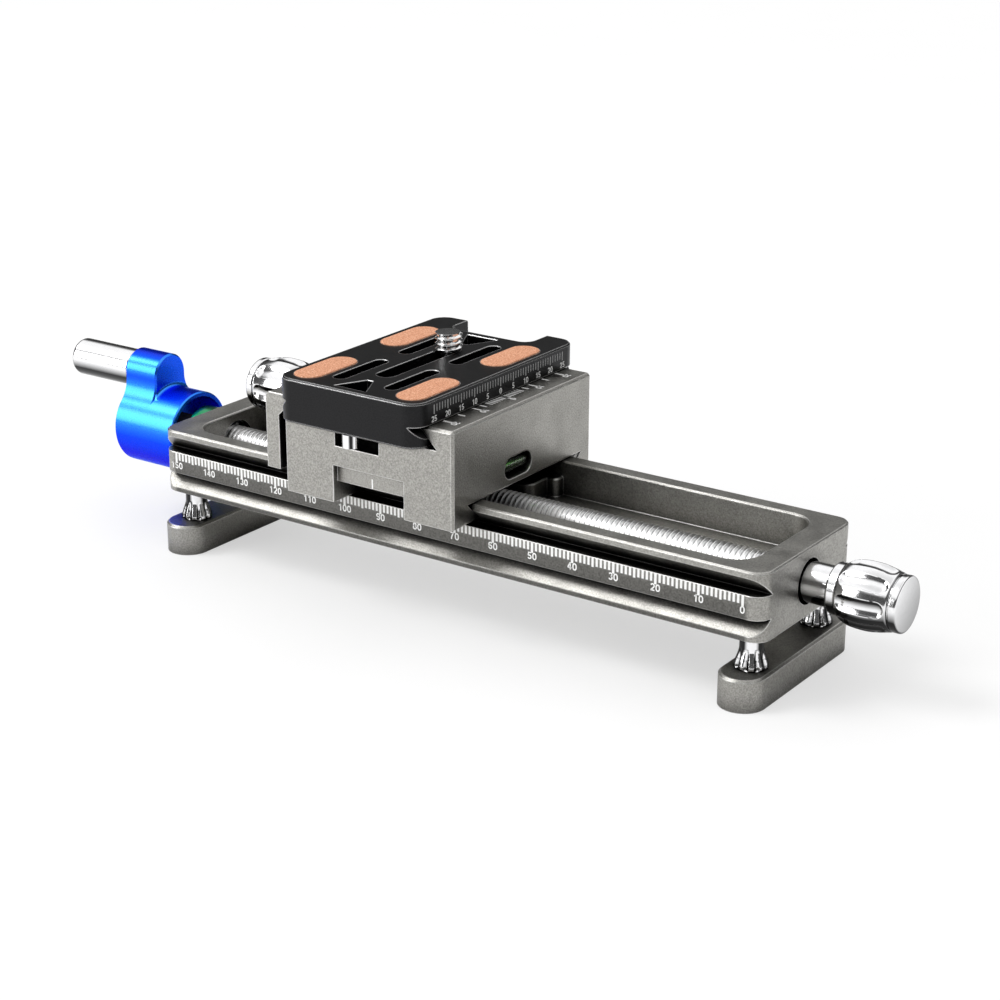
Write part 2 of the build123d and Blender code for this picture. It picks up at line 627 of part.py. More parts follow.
def grip_bolt():
    head_x = GRIP_X0 + CHANNEL_PLAY
    neck_x = head_x + GRIP_BOLT_HEAD_THICK
    head = rod_x(GRIP_BOLT_HEAD_R, head_x, neck_x, 0, GRIP_Z)
    shoulder = rod_x(GRIP_BOLT_R, neck_x, CRANK_OUTER_X, 0, GRIP_Z)
    thread = rod_x(GRIP_THREAD_R - THREAD_PLAY, neck_x, CRANK_OUTER_X + GRIP_THREAD_LENGTH, 0, GRIP_Z)
    mid = head_x + GRIP_BOLT_HEAD_THICK / 2
    slot = block(head_x - CUT, mid, -GRIP_R, GRIP_R, GRIP_Z - BOLT_SLOT / 2, GRIP_Z + BOLT_SLOT / 2)
    return head + shoulder + thread - slot


# ---------------------------------------------------------------- fluted knobs
def knob_stations():
    """Distance from the neck's face and radius, along the knob."""
    rim = KNOB_LENGTH - KNOB_RIM_LENGTH
    crown = rim - KNOB_RIM_GROOVE - KNOB_NECK_LENGTH
    groove_r = KNOB_RIM_R - KNOB_RIM_GROOVE
    return [
        (0.0, KNOB_NECK_R),
        (KNOB_NECK_LENGTH, KNOB_NECK_R),
        (KNOB_NECK_LENGTH + KNOB_SHOULDER, KNOB_NECK_R + KNOB_SHOULDER),
        (KNOB_NECK_LENGTH + 0.19 * crown, KNOB_R - 0.35),
        (KNOB_NECK_LENGTH + 0.40 * crown, KNOB_R),
        (KNOB_NECK_LENGTH + 0.64 * crown, KNOB_R),
        (KNOB_NECK_LENGTH + 0.83 * crown, KNOB_R - 0.3),
        (KNOB_NECK_LENGTH + crown, KNOB_RIM_R + 0.15),
        (rim - KNOB_RIM_GROOVE, groove_r),
        (rim, groove_r),
        (rim, KNOB_RIM_R),
        (KNOB_LENGTH - KNOB_EDGE, KNOB_RIM_R),
        (KNOB_LENGTH, KNOB_RIM_R - KNOB_EDGE),
    ]


def fluted_knob(neck_x, out, z, bore_r, bore_depth):
    """A turned barrel with scalloped flutes; out is +1 or -1, the way it points along X."""
    profile = [(neck_x + out * a, r) for a, r in knob_stations()]
    knob = turned_x([(neck_x, 0)] + profile + [(neck_x + out * KNOB_LENGTH, 0)], z)
    first = neck_x + out * (KNOB_NECK_LENGTH + KNOB_SHOULDER)
    last = neck_x + out * (KNOB_LENGTH - KNOB_RIM_LENGTH - 3 * KNOB_RIM_GROOVE)
    reach = FLUTE_FLOOR_R + FLUTE_CUT_R
    for k in range(KNOB_FLUTES):
        t = 2 * math.pi * k / KNOB_FLUTES
        y = reach * math.cos(t)
        dz = reach * math.sin(t)
        knob -= rod_x(FLUTE_CUT_R, min(first, last), max(first, last), y, z + dz)
    ends = (neck_x - out * CUT, neck_x + out * bore_depth)
    return knob - rod_x(bore_r, min(ends), max(ends), 0, z)


def lock_collar():
    tip = LOCK_NECK_X - KNOB_GAP
    flange_x = COLLAR_SEAT_X - COLLAR_FLANGE
    collar = rod_x(COLLAR_R, flange_x, tip)
    collar = chamfer(collar.edges().group_by(Axis.X)[-1], COLLAR_EDGE)
    collar += rod_x(BUSH_R, flange_x, COLLAR_SEAT_X)
    return collar - rod_x(LOCK_SCREW_R + RUN, flange_x - CUT, tip + CUT)


def lock_pad():
    """The brass pad that the lock screw presses on the lead screw's end."""
    return rod_x(LOCK_SCREW_R, LOCK_PAD_X0, LOCK_PAD_X1)


def lock_screw():
    return rod_x(LOCK_SCREW_R, LOCK_PAD_X1 + THREAD_PLAY, LOCK_NECK_X + LOCK_SCREW_REACH)


def lock_knob():
    return fluted_knob(LOCK_NECK_X, 1, AXIS_Z, LOCK_SCREW_R, LOCK_SCREW_REACH)


# ---------------------------------------------------------------- carriage
def dovetail_y(z, extra):
    """Half width of the rail's undercut surface at height z, moved out by extra."""
    return RAIL_WIDTH / 2 + (z - FLANGE_EDGE_Z) + extra * math.sqrt(2)


def carriage_body():
    body = block(CAR_X0, CAR_X1, -CAR_HALF_WIDTH, CAR_HALF_WIDTH, CAR_Z0, CAR_TOP)
    right = body.edges().group_by(Axis.X)[-1]
    top = body.edges().group_by(Axis.Z)[-1].filter_by(Axis.X)
    body = chamfer(right + top, CAR_EDGE)
    near = SLIDE
    far = SLIDE + GIB_THICK
    low = CAR_Z0 - CUT
    channel = [
        (-dovetail_y(low, near), low),
        (-dovetail_y(CEILING_Z, near), CEILING_Z),
        (dovetail_y(CEILING_Z, far), CEILING_Z),
        (dovetail_y(low, far), low),
    ]
    body -= prism_x(channel, CAR_X0 - CUT, CAR_X1 + CUT)
    return body - plate_channel() - index_window() - vial_window() - carriage_holes()


def plate_channel():
    """The space above the floor: open on the left, undercut beneath the fixed jaw's nose."""
    floor_x = PLATE_X1 + SLIDE * math.sqrt(2) + (PLATE_LAND_TOP - CHANNEL_FLOOR)
    high = CAR_TOP + CUT
    outline = [
        (CAR_X0 - CUT, CHANNEL_FLOOR),
        (floor_x, CHANNEL_FLOOR),
        (floor_x - (high - CHANNEL_FLOOR), high),
        (CAR_X0 - CUT, high),
    ]
    side = CAR_HALF_WIDTH + CUT
    space = prism_y(outline, -side, side)
    x0 = PLATE_CENTRE_X - STOP_POCKET_HALF
    x1 = PLATE_CENTRE_X + STOP_POCKET_HALF
    z0 = CHANNEL_FLOOR - STOP_POCKET_DEPTH
    space += block(x0, x1, -side, STOP_WALL_Y - STOP_WALL_THICK / 2, z0, high)
    space += block(x0, x1, STOP_WALL_Y + STOP_WALL_THICK / 2, side, z0, high)
    return space


def index_window():
    x0 = CAR_CENTRE_X - INDEX_HALF
    x1 = CAR_CENTRE_X + INDEX_HALF
    front = -CAR_HALF_WIDTH
    recess = block(x0, x1, front - CUT, front + INDEX_RECESS, CAR_Z0 - CUT, INDEX_TOP)
    return recess + block(x0, x1, front - CUT, -RAIL_WIDTH / 2 + DOVETAIL_DEPTH, CAR_Z0 - CUT, CEILING_Z)


def carriage_holes():
    holes = rod_x(CLAMP_SCREW_R + BOLT_PLAY, CAR_X0 - CUT, CAR_X0 + CLAMP_THREAD_LENGTH + BODY_MARGIN, 0, CLAMP_Z)
    for y in (-PIN_Y, PIN_Y):
        holes += rod_x(PIN_R + RUN, CAR_X0 - CUT, CAR_X0 + PIN_REACH + PIN_CAP, y, CLAMP_Z)
        holes += rod_x(SPRING_POCKET_R, CAR_X0 - CUT, CAR_X0 + SPRING_POCKET_DEPTH, y, CLAMP_Z)
    for x, y in NUT_SCREW_PLACES:
        holes += rod_z(NUT_SCREW_R + BOLT_PLAY, CEILING_Z - CUT, CHANNEL_FLOOR + CUT, x, y)
        holes += rod_z(NUT_HEAD_R + HEAD_PLAY, NUT_HEAD_Z, CHANNEL_FLOOR + CUT, x, y)
    for x in gib_screw_xs():
        holes += rod_y(GIB_SCREW_R, RAIL_WIDTH / 2 - DOVETAIL_DEPTH, CAR_HALF_WIDTH + CUT, x, GIB_SCREW_Z)
    return holes


def vial_window():
    """A round-ended window in the right face and the cross bore that holds the vial."""
    r = VIAL_WINDOW_HEIGHT / 2
    half = VIAL_WINDOW_LENGTH / 2 - r
    x1 = CAR_X1 + CUT
    window = block(VIAL_X, x1, VIAL_Y - half, VIAL_Y + half, VIAL_Z - r, VIAL_Z + r)
    for y in (VIAL_Y - half, VIAL_Y + half):
        window += rod_x(r, VIAL_X, x1, y, VIAL_Z)
    return window + rod_y(VIAL_R, VIAL_Y - VIAL_HALF, VIAL_Y + VIAL_HALF, VIAL_X, VIAL_Z)


def vial_cavity():
    inner = VIAL_HALF - VIAL_END
    return rod_y(VIAL_R - VIAL_WALL, VIAL_Y - inner, VIAL_Y + inner, VIAL_X, VIAL_Z)


def vial_tube():
    return rod_y(VIAL_R, VIAL_Y - VIAL_HALF, VIAL_Y + VIAL_HALF, VIAL_X, VIAL_Z) - vial_cavity()


def vial_liquid():
    bubble_z = VIAL_Z + VIAL_R - VIAL_WALL
    bubble = Pos(VIAL_X, VIAL_Y, bubble_z) * scale(Sphere(VIAL_R / 2), (1.0, 1.8, 0.8))
    return vial_cavity() - bubble


def gib_screw_xs():
    return [CAR_CENTRE_X + k * GIB_SCREW_STEP for k in (-1, 0, 1)]


def gib_strip():
    """The strip that takes up the play at the far dovetail."""
    z0 = CAR_Z0 + HEAD_PLAY
    z1 = CEILING_Z - HEAD_PLAY
    near = SLIDE
    far = SLIDE + GIB_THICK
    outline = [
        (dovetail_y(z0, near), z0),
        (dovetail_y(z1, near), z1),
        (dovetail_y(z1, far), z1),
        (dovetail_y(z0, far), z0),
    ]
    return prism_x(outline, CAR_X0 + GIB_SHORT, CAR_X1 - GIB_SHORT)


def gib_screw(x):
    tip = dovetail_y(GIB_SCREW_Z + GIB_SCREW_R, SLIDE + GIB_THICK)
    end = CAR_HALF_WIDTH - BODY_MARGIN
    body = rod_y(GIB_SCREW_R - THREAD_PLAY, tip, end, x, GIB_SCREW_Z)
    return body - hex_socket_y(x, end, GIB_SCREW_Z, GIB_SCREW_R / 2, GIB_SCREW_R)


def gib_screws():
    return Compound([gib_screw(x) for x in gib_screw_xs()])


def drive_nut():
    nut = block(NUT_X0, NUT_X1, -NUT_HALF, NUT_HALF, NUT_BOTTOM, NUT_TOP)
    nut = chamfer(nut.edges().filter_by(Axis.X), NUT_EDGE)
    return nut - rod_x(SCREW_R + RUN, NUT_X0 - CUT, NUT_X1 + CUT)


def nut_bracket():
    half = BRACKET_LENGTH / 2
    x0 = PLATE_CENTRE_X - half
    bracket = block(x0, x0 + BRACKET_LENGTH, -BRACKET_HALF, BRACKET_HALF, NUT_TOP, CEILING_Z)
    for x, y in NUT_SCREW_PLACES:
        bracket -= rod_z(NUT_SCREW_R, NUT_TOP - CUT, CEILING_Z + CUT, x, y)
    return bracket


def nut_screw(x, y):
    head = rod_z(NUT_HEAD_R, NUT_HEAD_Z, NUT_HEAD_Z + NUT_HEAD_THICK, x, y)
    shank = rod_z(NUT_SCREW_R - THREAD_PLAY, NUT_TOP + SEAT_GAP, NUT_HEAD_Z + SEAT_GAP, x, y)
    mid = NUT_HEAD_Z + NUT_HEAD_THICK / 2
    socket = extrude(Pos(x, y, mid) * RegularPolygon(NUT_HEAD_R / 2, 6), amount=NUT_HEAD_THICK)
    return head + shank - socket


def nut_screws():
    return Compound([nut_screw(x, y) for x, y in NUT_SCREW_PLACES])


# ---------------------------------------------------------------- plate clamp
def clamp_jaw():
    """Upright bar with a 45 degree nose that bears on the plate's left dovetail."""
    nose_z0 = PLATE_LAND_TOP - (PLATE_X0 - SLIDE * math.sqrt(2) - JAW_X1)
    tip_x = JAW_X1 + (CAR_TOP - nose_z0)
    outline = [
        (JAW_X0, JAW_BOTTOM),
        (JAW_X1, JAW_BOTTOM),
        (JAW_X1, nose_z0),
        (tip_x, CAR_TOP),
        (JAW_X0 + JAW_EDGE, CAR_TOP),
        (JAW_X0, CAR_TOP - JAW_EDGE),
    ]
    jaw = prism_y(outline, -CAR_HALF_WIDTH, CAR_HALF_WIDTH)
    jaw -= rod_x(CLAMP_SCREW_R + RUN, JAW_X0 - CUT, JAW_X1 + CUT, 0, CLAMP_Z)
    for y in (-PIN_Y, PIN_Y):
        jaw -= rod_x(PIN_R, JAW_X0 + PIN_CAP, JAW_X1 + CUT, y, CLAMP_Z)
    return jaw


def guide_pins():
    pins = [rod_x(PIN_R, JAW_X0 + PIN_CAP, CAR_X0 + PIN_REACH, y, CLAMP_Z) for y in (-PIN_Y, PIN_Y)]
    return Compound(pins)


def jaw_spring(y):
    """A compression spring on a guide pin, from near the jaw's face to the pocket's floor."""
    x0 = JAW_X1 + SPRING_PLAY + SPRING_WIRE_R
    x1 = CAR_X0 + SPRING_POCKET_DEPTH - SPRING_WIRE_R
    plane = Plane(origin=(x0, y, CLAMP_Z), x_dir=(0, 0, 1), z_dir=(1, 0, 0))
    path = plane.location * Helix(pitch=(x1 - x0) / SPRING_TURNS, height=x1 - x0, radius=SPRING_R)
    section = Plane(origin=path @ 0, z_dir=path % 0) * Circle(SPRING_WIRE_R)
    return sweep(section, path=path)


def jaw_springs():
    return Compound([jaw_spring(y) for y in (-PIN_Y, PIN_Y)])


def clamp_collar():
    collar = rod_x(COLLAR_R, CLAMP_NECK_X + KNOB_GAP, JAW_X0, 0, CLAMP_Z)
    return collar - rod_x(CLAMP_SCREW_R + RUN, CLAMP_NECK_X - CUT, JAW_X0 + CUT, 0, CLAMP_Z)


def clamp_screw():
    return rod_x(CLAMP_SCREW_R, CLAMP_NECK_X - CLAMP_SOCKET, CAR_X0 + CLAMP_THREAD_LENGTH, 0, CLAMP_Z)


def clamp_knob():
    return fluted_knob(CLAMP_NECK_X, -1, CLAMP_Z, CLAMP_SCREW_R, CLAMP_SOCKET)


# ---------------------------------------------------------------- plate and camera screw
def plate_body():
    plan = RectangleRounded(PLATE_WIDTH, PLATE_LENGTH, PLATE_CORNER_R)
    plate = extrude(Pos(PLATE_CENTRE_X, 0, PLATE_BOTTOM) * plan, amount=PLATE_TOP - PLATE_BOTTOM)
    levels = plate.edges().group_by(Axis.Z)
    plate = chamfer(levels[-1] + levels[0], PLATE_EDGE)
    side_y = PLATE_BACK + CUT
    for side, edge in ((-1, PLATE_X0), (1, PLATE_X1)):
        groove = [
            (edge + side * CUT, PLATE_LAND_TOP - CUT),
            (edge - side * PLATE_NOTCH, PLATE_UNDERSIDE),
            (edge + side * CUT, PLATE_UNDERSIDE),
        ]
        plate -= prism_y(groove, -side_y, side_y)
    return plate - plate_windows() - rear_notch() - pad_shapes(PAD_PLAY, PLATE_TOP + CUT) - stop_threads(THREAD_PLAY)


def arrow_window(base_y, way):
    """A blunt triangle sunk in the plate's top, its tip towards the camera screw's slot."""
    tip_y = base_y + way * ARROW_LENGTH
    corners = [
        (PLATE_CENTRE_X - ARROW_BASE_HALF, base_y),
        (PLATE_CENTRE_X + ARROW_BASE_HALF, base_y),
        (PLATE_CENTRE_X + ARROW_TIP_HALF, tip_y),
        (PLATE_CENTRE_X - ARROW_TIP_HALF, tip_y),
    ]
    return prism_z(corners, WINDOW_FLOOR, PLATE_TOP + CUT)


def plate_windows():
    """The camera screw's slot over its head channel, four side slots and two arrows."""
    z0 = PLATE_BOTTOM - CUT
    z1 = PLATE_TOP + CUT
    y0, y1 = SLOT_YS
    grow = HEAD_CHANNEL_HALF - SLOT_HALF
    cut = stadium_z(2 * SLOT_HALF, y0, y1, z0, z1, PLATE_CENTRE_X)
    cut += stadium_z(2 * HEAD_CHANNEL_HALF, y0 - grow, y1 + grow, z0, HEAD_CHANNEL_TOP, PLATE_CENTRE_X)
    half = SIDE_SLOT_LENGTH / 2
    for x in (PLATE_CENTRE_X - SIDE_SLOT_X, PLATE_CENTRE_X + SIDE_SLOT_X):
        for y in SIDE_SLOT_YS:
            cut += stadium_z(SIDE_SLOT_WIDTH, y - half, y + half, WINDOW_FLOOR, z1, x)
    front_y, back_y = ARROW_BASE_YS
    return cut + arrow_window(front_y, 1) + arrow_window(back_y, -1)


def rear_notch():
    x0 = PLATE_CENTRE_X - REAR_NOTCH_HALF
    x1 = PLATE_CENTRE_X + REAR_NOTCH_HALF
    notch = block(x0, x1, PLATE_BACK - REAR_NOTCH_DEPTH, PLATE_BACK + CUT, PLATE_BOTTOM - CUT, PLATE_TOP + CUT)
    return fillet(notch.edges().filter_by(Axis.Z).group_by(Axis.Y)[0], REAR_NOTCH_R)


def pad_shapes(grow, z1):
    """Four round-ended shapes from the pads' seats up to z1, grown all round by grow."""
    half = PAD_LENGTH / 2 + grow
    width = PAD_WIDTH + 2 * grow
    places = [(PLATE_CENTRE_X + side * PAD_X, y) for side in (-1, 1) for y in PAD_YS]
    return Compound([stadium_z(width, y - half, y + half, PAD_FLOOR, z1, x) for x, y in places])


def plate_pads():
    return pad_shapes(0, PLATE_TOP + PAD_PROUD)


def stop_threads(play):
    z0 = PLATE_BOTTOM - SEAT_GAP
    z1 = PLATE_BOTTOM + STOP_THREAD_LENGTH + play
    return Compound([rod_z(STOP_THREAD_R + play, z0, z1, PLATE_CENTRE_X, y) for y in STOP_PIN_YS])


def stop_pins():
    pins = []
    for y in STOP_PIN_YS:
        head = rod_z(STOP_PIN_R, PLATE_BOTTOM - STOP_PIN_LENGTH, PLATE_BOTTOM, PLATE_CENTRE_X, y)
        thread = rod_z(STOP_THREAD_R, PLATE_BOTTOM - SEAT_GAP, PLATE_BOTTOM + STOP_THREAD_LENGTH, PLATE_CENTRE_X, y)
        pins.append(head + thread)
    return Compound(pins)


def camera_screw():
    top = PLATE_TOP + CAMERA_SCREW_RISE
    thread = rod_z(CAMERA_SCREW_R, CAMERA_THREAD_Z0, top, PLATE_CENTRE_X, CAMERA_SCREW_Y)
    thread = chamfer(thread.edges().group_by(Axis.Z)[-1], CAMERA_SCREW_TIP)
    neck_z = CAMERA_HEAD_Z1 - CAMERA_HEAD_GRIP
    return thread + rod_z(CAMERA_NECK_R, neck_z, CAMERA_THREAD_Z0 + SEAT_GAP, PLATE_CENTRE_X, CAMERA_SCREW_Y)


def camera_screw_head():
    """The slotted disc under the slot, pinned on the camera screw's neck."""
    x = PLATE_CENTRE_X
    y = CAMERA_SCREW_Y
    head = rod_z(CAMERA_HEAD_R, CAMERA_HEAD_Z0, CAMERA_HEAD_Z1, x, y)
    head -= rod_z(CAMERA_NECK_R, CAMERA_HEAD_Z1 - CAMERA_HEAD_GRIP, CAMERA_HEAD_Z1 + CUT, x, y)
    half = CAMERA_HEAD_R + CUT
    width = CAMERA_KEY_SLOT / 2
    depth = CAMERA_HEAD_Z0 + CAMERA_KEY_SLOT
    return head - block(x - half, x + half, y - width, y + width, CAMERA_HEAD_Z0 - CUT, depth)


def camera_screw_washer():
    """The captive washer that slides along the channel and keeps the screw in its slot."""
    x = PLATE_CENTRE_X
    y = CAMERA_SCREW_Y
    washer = rod_z(CAMERA_HEAD_R, CAMERA_WASHER_Z0, CAMERA_WASHER_Z1, x, y)
    return washer - rod_z(CAMERA_NECK_R + RUN, CAMERA_WASHER_Z0 - CUT, CAMERA_WASHER_Z1 + CUT, x, y)


# ---------------------------------------------------------------- files
def parts():
    return {
        "rail_body": rail_body(),
        "foot_left": foot(-1),
        "foot_right": foot(1),
        "foot_posts": foot_posts(),
        "foot_screws": foot_screws(),
        "bearing_outer_race": bearing_outer_race(),
        "bearing_balls": bearing_balls(),
        "bearing_retainer": bearing_retainer(),
        "end_bush": end_bush(),
        "lock_collar": lock_collar(),
        "leadscrew": leadscrew(),
        "bearing_inner_race": bearing_inner_race(),
        "journal_spacer": journal_spacer(),
        "crank_hub": crank_hub(),
        "crank_screw": crank_screw(),
        "crank_set_screw": crank_set_screw(),
        "grip_bolt": grip_bolt(),
        "crank_grip": crank_grip(),
        "lock_pad": lock_pad(),
        "lock_screw": lock_screw(),
        "lock_knob": lock_knob(),
        "carriage_body": carriage_body(),
        "gib_strip": gib_strip(),
        "gib_screws": gib_screws(),
        "drive_nut": drive_nut(),
        "nut_bracket": nut_bracket(),
        "nut_screws": nut_screws(),
        "vial_tube": vial_tube(),
        "vial_liquid": vial_liquid(),
        "jaw_springs": jaw_springs(),
        "clamp_jaw": clamp_jaw(),
        "guide_pins": guide_pins(),
        "clamp_collar": clamp_collar(),
        "clamp_screw": clamp_screw(),
        "clamp_knob": clamp_knob(),
        "plate_body": plate_body(),
        "plate_pads": plate_pads(),
        "stop_pins": stop_pins(),
        "camera_screw": camera_screw(),
        "camera_screw_head": camera_screw_head(),
        "camera_screw_washer": camera_screw_washer(),
    }


os.makedirs("parts", exist_ok=True)
for node, solid in parts().items():
    export_step(solid, f"parts/{node}.step")
    print(node, round(solid.volume, 1), len(solid.solids()))
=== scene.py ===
"""Looks of a macro focusing rail. Lengths are in millimetres until a mesh is made."""
import json
import math
from collections import namedtuple

import bmesh
import bpy
from mathutils import Matrix, Vector


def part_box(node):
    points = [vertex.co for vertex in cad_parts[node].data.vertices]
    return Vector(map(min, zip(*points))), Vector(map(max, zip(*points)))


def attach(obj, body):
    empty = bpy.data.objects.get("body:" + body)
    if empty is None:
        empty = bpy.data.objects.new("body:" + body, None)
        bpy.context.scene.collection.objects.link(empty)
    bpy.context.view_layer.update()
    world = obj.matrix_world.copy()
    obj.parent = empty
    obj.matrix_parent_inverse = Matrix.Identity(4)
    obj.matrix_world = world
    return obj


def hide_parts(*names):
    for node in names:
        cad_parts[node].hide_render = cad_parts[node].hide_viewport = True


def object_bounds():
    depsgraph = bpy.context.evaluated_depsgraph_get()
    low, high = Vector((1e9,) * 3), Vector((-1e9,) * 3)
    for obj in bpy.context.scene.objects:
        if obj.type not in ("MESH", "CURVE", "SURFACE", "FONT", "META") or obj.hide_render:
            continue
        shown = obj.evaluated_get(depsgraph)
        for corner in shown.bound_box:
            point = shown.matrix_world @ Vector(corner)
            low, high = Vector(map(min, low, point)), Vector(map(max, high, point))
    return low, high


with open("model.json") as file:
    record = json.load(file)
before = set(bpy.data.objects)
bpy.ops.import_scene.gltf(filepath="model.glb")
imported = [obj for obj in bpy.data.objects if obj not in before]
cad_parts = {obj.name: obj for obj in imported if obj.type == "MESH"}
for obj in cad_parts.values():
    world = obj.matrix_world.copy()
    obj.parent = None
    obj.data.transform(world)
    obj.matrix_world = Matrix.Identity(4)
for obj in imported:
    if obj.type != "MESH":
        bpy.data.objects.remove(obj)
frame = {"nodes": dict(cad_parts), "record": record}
CAD_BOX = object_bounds()
MM = 0.001


# ---------------------------------------------------------------- places read from the frame
Point = namedtuple("Point", "x y z")


def corners(node):
    """The low and the high corner of a CAD node's box, in millimetres to a thousandth."""
    low, high = (Point(*(round(c / MM, 3) for c in corner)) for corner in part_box(node))
    return low, high


def centre(node):
    return Point(*((a + b) / 2 for a, b in zip(*corners(node))))


RAIL_LOW, RAIL_HIGH = corners("rail_body")
CARRIAGE_LOW, CARRIAGE_HIGH = corners("carriage_body")
PLATE_HIGH = corners("plate_body")[1]
SCREW_CENTRE = centre("leadscrew")
CLAMP_CENTRE = centre("clamp_knob")
CAMERA_CENTRE = centre("camera_screw")


# ---------------------------------------------------------------- sizes of the added forms
# Threads. OVERLAP is how far a thread and its plain journal run into each other.
SCREW_MAJOR_R = 3.95
SCREW_MINOR_R = 3.25
SCREW_PITCH = 1.25
SCREW_END_X = RAIL_HIGH.x - 6.3
JOURNAL_R = 3.0
JOURNAL_CHAMFER = 0.2
JOURNAL_SEGMENTS = 64
OVERLAP = 0.1

CAMERA_MAJOR_R = 3.1
CAMERA_MINOR_R = 2.6
CAMERA_PITCH = 1.27
CAMERA_THREAD_LENGTH = 4.1
CAMERA_THREAD_STEPS = 48
CAMERA_NECK_R = 2.0

CLAMP_MAJOR_R = 2.5
CLAMP_MINOR_R = 2.1
CLAMP_PITCH = 0.8

# Knobs. Outlines are (height, radius), from the collar outwards.
KNOB_COLLAR = [(0.0, 5.1), (0.3, 5.4), (0.4, 5.45), (2.0, 5.45), (2.1, 5.5)]
KNOB_CROWN = [(2.3, 5.75), (3.2, 6.35), (4.6, 6.8), (6.6, 7.0), (9.0, 6.98), (11.4, 6.6), (13.4, 6.1)]
KNOB_GROOVE = [(13.7, 5.75), (13.72, 5.62), (14.0, 5.62), (14.02, 5.8)]
KNOB_CAP = [(14.2, 5.95), (15.3, 5.95), (15.55, 5.85), (15.66, 5.65), (15.7, 5.4)]
KNOB_STEP = 0.16
KNOB_SEGMENTS = 288
FLUTES = 8
FLUTE_START = 2.7
FLUTE_END = 13.25
FLUTE_HALF = 1.75               # half the width of a flute
FLUTE_CUT_R = 2.4               # radius of the cutter that scoops it

# Posts. Outlines are (height, radius), from the foot upwards.
POST_SKIRT = [(0.0, 3.2), (0.05, 3.42), (0.25, 3.54), (0.85, 3.5), (1.85, 3.2), (2.95, 2.8), (3.75, 2.56)]
POST_NECK = [(4.25, 2.5), (7.35, 2.46), (7.45, 2.4)]
POST_STEP = 0.12
POST_SEGMENTS = 252
POST_INSET = 8.1                # from the end of the foot to the middle of the post
PETALS = 9
PETAL_DEPTH = 0.17              # share of the radius
PETAL_TOP = 4.45
PETAL_FADE = 2.2
PETAL_FOOT = 0.35

# Pads. The roll is (inset, depth below the top).
PAD_HALF_WIDTH = 3.55
PAD_HALF_LENGTH = 8.75
PAD_ROLL = [(0.0, 0.22), (0.06, 0.1), (0.2, 0.02), (0.5, 0.0), (2.4, 0.0)]
PAD_SEGMENTS = 48

# Painted marks. The ticks are (length, width), by how often they come.
MARK = 0.02                     # half the thickness of the paint
FIGURE_STEP = 0.76              # from one figure to the next, in heights
FIGURE_STROKE = 0.185           # width of a stroke, in heights

SCALE_LENGTH = 150
SCALE_FIGURE_EVERY = 10
SCALE_ZERO_X = RAIL_HIGH.x - 4.65
SCALE_TICKS = {1: (1.9, 0.54), 5: (2.15, 0.54), 10: (2.45, 0.6)}
SCALE_TOP = RAIL_LOW.z + 9.75
SCALE_MARGIN = 0.06
SCALE_FIGURE_Z = RAIL_LOW.z + 6.6
SCALE_FIGURE_HEIGHT = 1.62
# Painted shade on the band behind the scale: where it ends and fades along the rail, and its strength by
# height.
BAND_END = RAIL_HIGH.x - 3.3
BAND_FADE = 0.6
BAND_SHADE_LEVELS = [(4.7, 1.0), (7.4, 0.95), (8.3, 0.5), (9.7, 0.4), (9.76, 0.0)]   # height, strength

PLATE_REACH = 25                # marks each way
PLATE_STEP = 0.96
PLATE_FIGURE_EVERY = 5
PLATE_TICKS = {1: (1.6, 0.25), 5: (2.0, 0.34)}
PLATE_TICK_TOP = PLATE_HIGH.z - 1.1
PLATE_FIGURE_Z = PLATE_HIGH.z - 4.15
PLATE_FIGURE_HEIGHT = 1.3

# The jaw's marks start beside the plate. Each kind is (reach from the plate's side, width).
JAW_START = 0.1
JAW_LONG = (2.45, 0.6)
JAW_SHORT = (1.95, 0.55)
JAW_FINE = (2.05, 0.45)
JAW_LONG_STEP = 10.5
JAW_LONG_REACH = 2              # marks each way
JAW_SHORT_PLACES = (-15.75, -7.9, 7.9, 15.75)
JAW_FINE_STEP = 0.97
JAW_FINE_REACH = 6              # marks each way
JAW_FIGURE_STEP = 10
JAW_FIGURE_OUT = 3.25           # from the plate's side
JAW_FIGURE_HEIGHT = 1.5

INDEX_X = CARRIAGE_LOW.x + 22.5
INDEX_Y = CARRIAGE_LOW.y + 1.5  # the back of the window
INDEX_Z = CARRIAGE_LOW.z + 4.55
INDEX_WIDTH = 0.38
INDEX_HEIGHT = 2.2


# ---------------------------------------------------------------- node helpers
SHADER_SAMPLES = 8
GRAIN_DEPTH = 0.0001            # metres


def new_material(name):
    mat = bpy.data.materials.new(name)
    mat.use_nodes = True
    nodes = mat.node_tree.nodes
    nodes.clear()
    out = nodes.new("ShaderNodeOutputMaterial")
    bsdf = nodes.new("ShaderNodeBsdfPrincipled")
    mat.node_tree.links.new(bsdf.outputs["BSDF"], out.inputs["Surface"])
    return mat, nodes, mat.node_tree.links, bsdf


def noise(nodes, links, coord, scale, detail=2.0, rough=0.5):
    tex = nodes.new("ShaderNodeTexNoise")
    tex.inputs["Scale"].default_value = scale
    tex.inputs["Detail"].default_value = detail
    tex.inputs["Roughness"].default_value = rough
    links.new(coord.outputs["Object"], tex.inputs["Vector"])
    return tex.outputs["Fac"]


def ramp(nodes, links, fac, stops):
    node = nodes.new("ShaderNodeValToRGB")
    elements = node.color_ramp.elements
    while len(elements) > len(stops):
        elements.remove(elements[-1])
    while len(elements) < len(stops):
        elements.new(0.5)
    for element, (pos, col) in zip(elements, stops):
        element.position = pos
        element.color = (*col, 1.0)
    links.new(fac, node.inputs["Fac"])
    return node.outputs["Color"]


def map_range(nodes, links, fac, low, high):
    node = nodes.new("ShaderNodeMapRange")
    node.inputs["From Min"].default_value = 0.25
    node.inputs["From Max"].default_value = 0.75
    node.inputs["To Min"].default_value = low
    node.inputs["To Max"].default_value = high
    links.new(fac, node.inputs["Value"])
    return node.outputs["Result"]


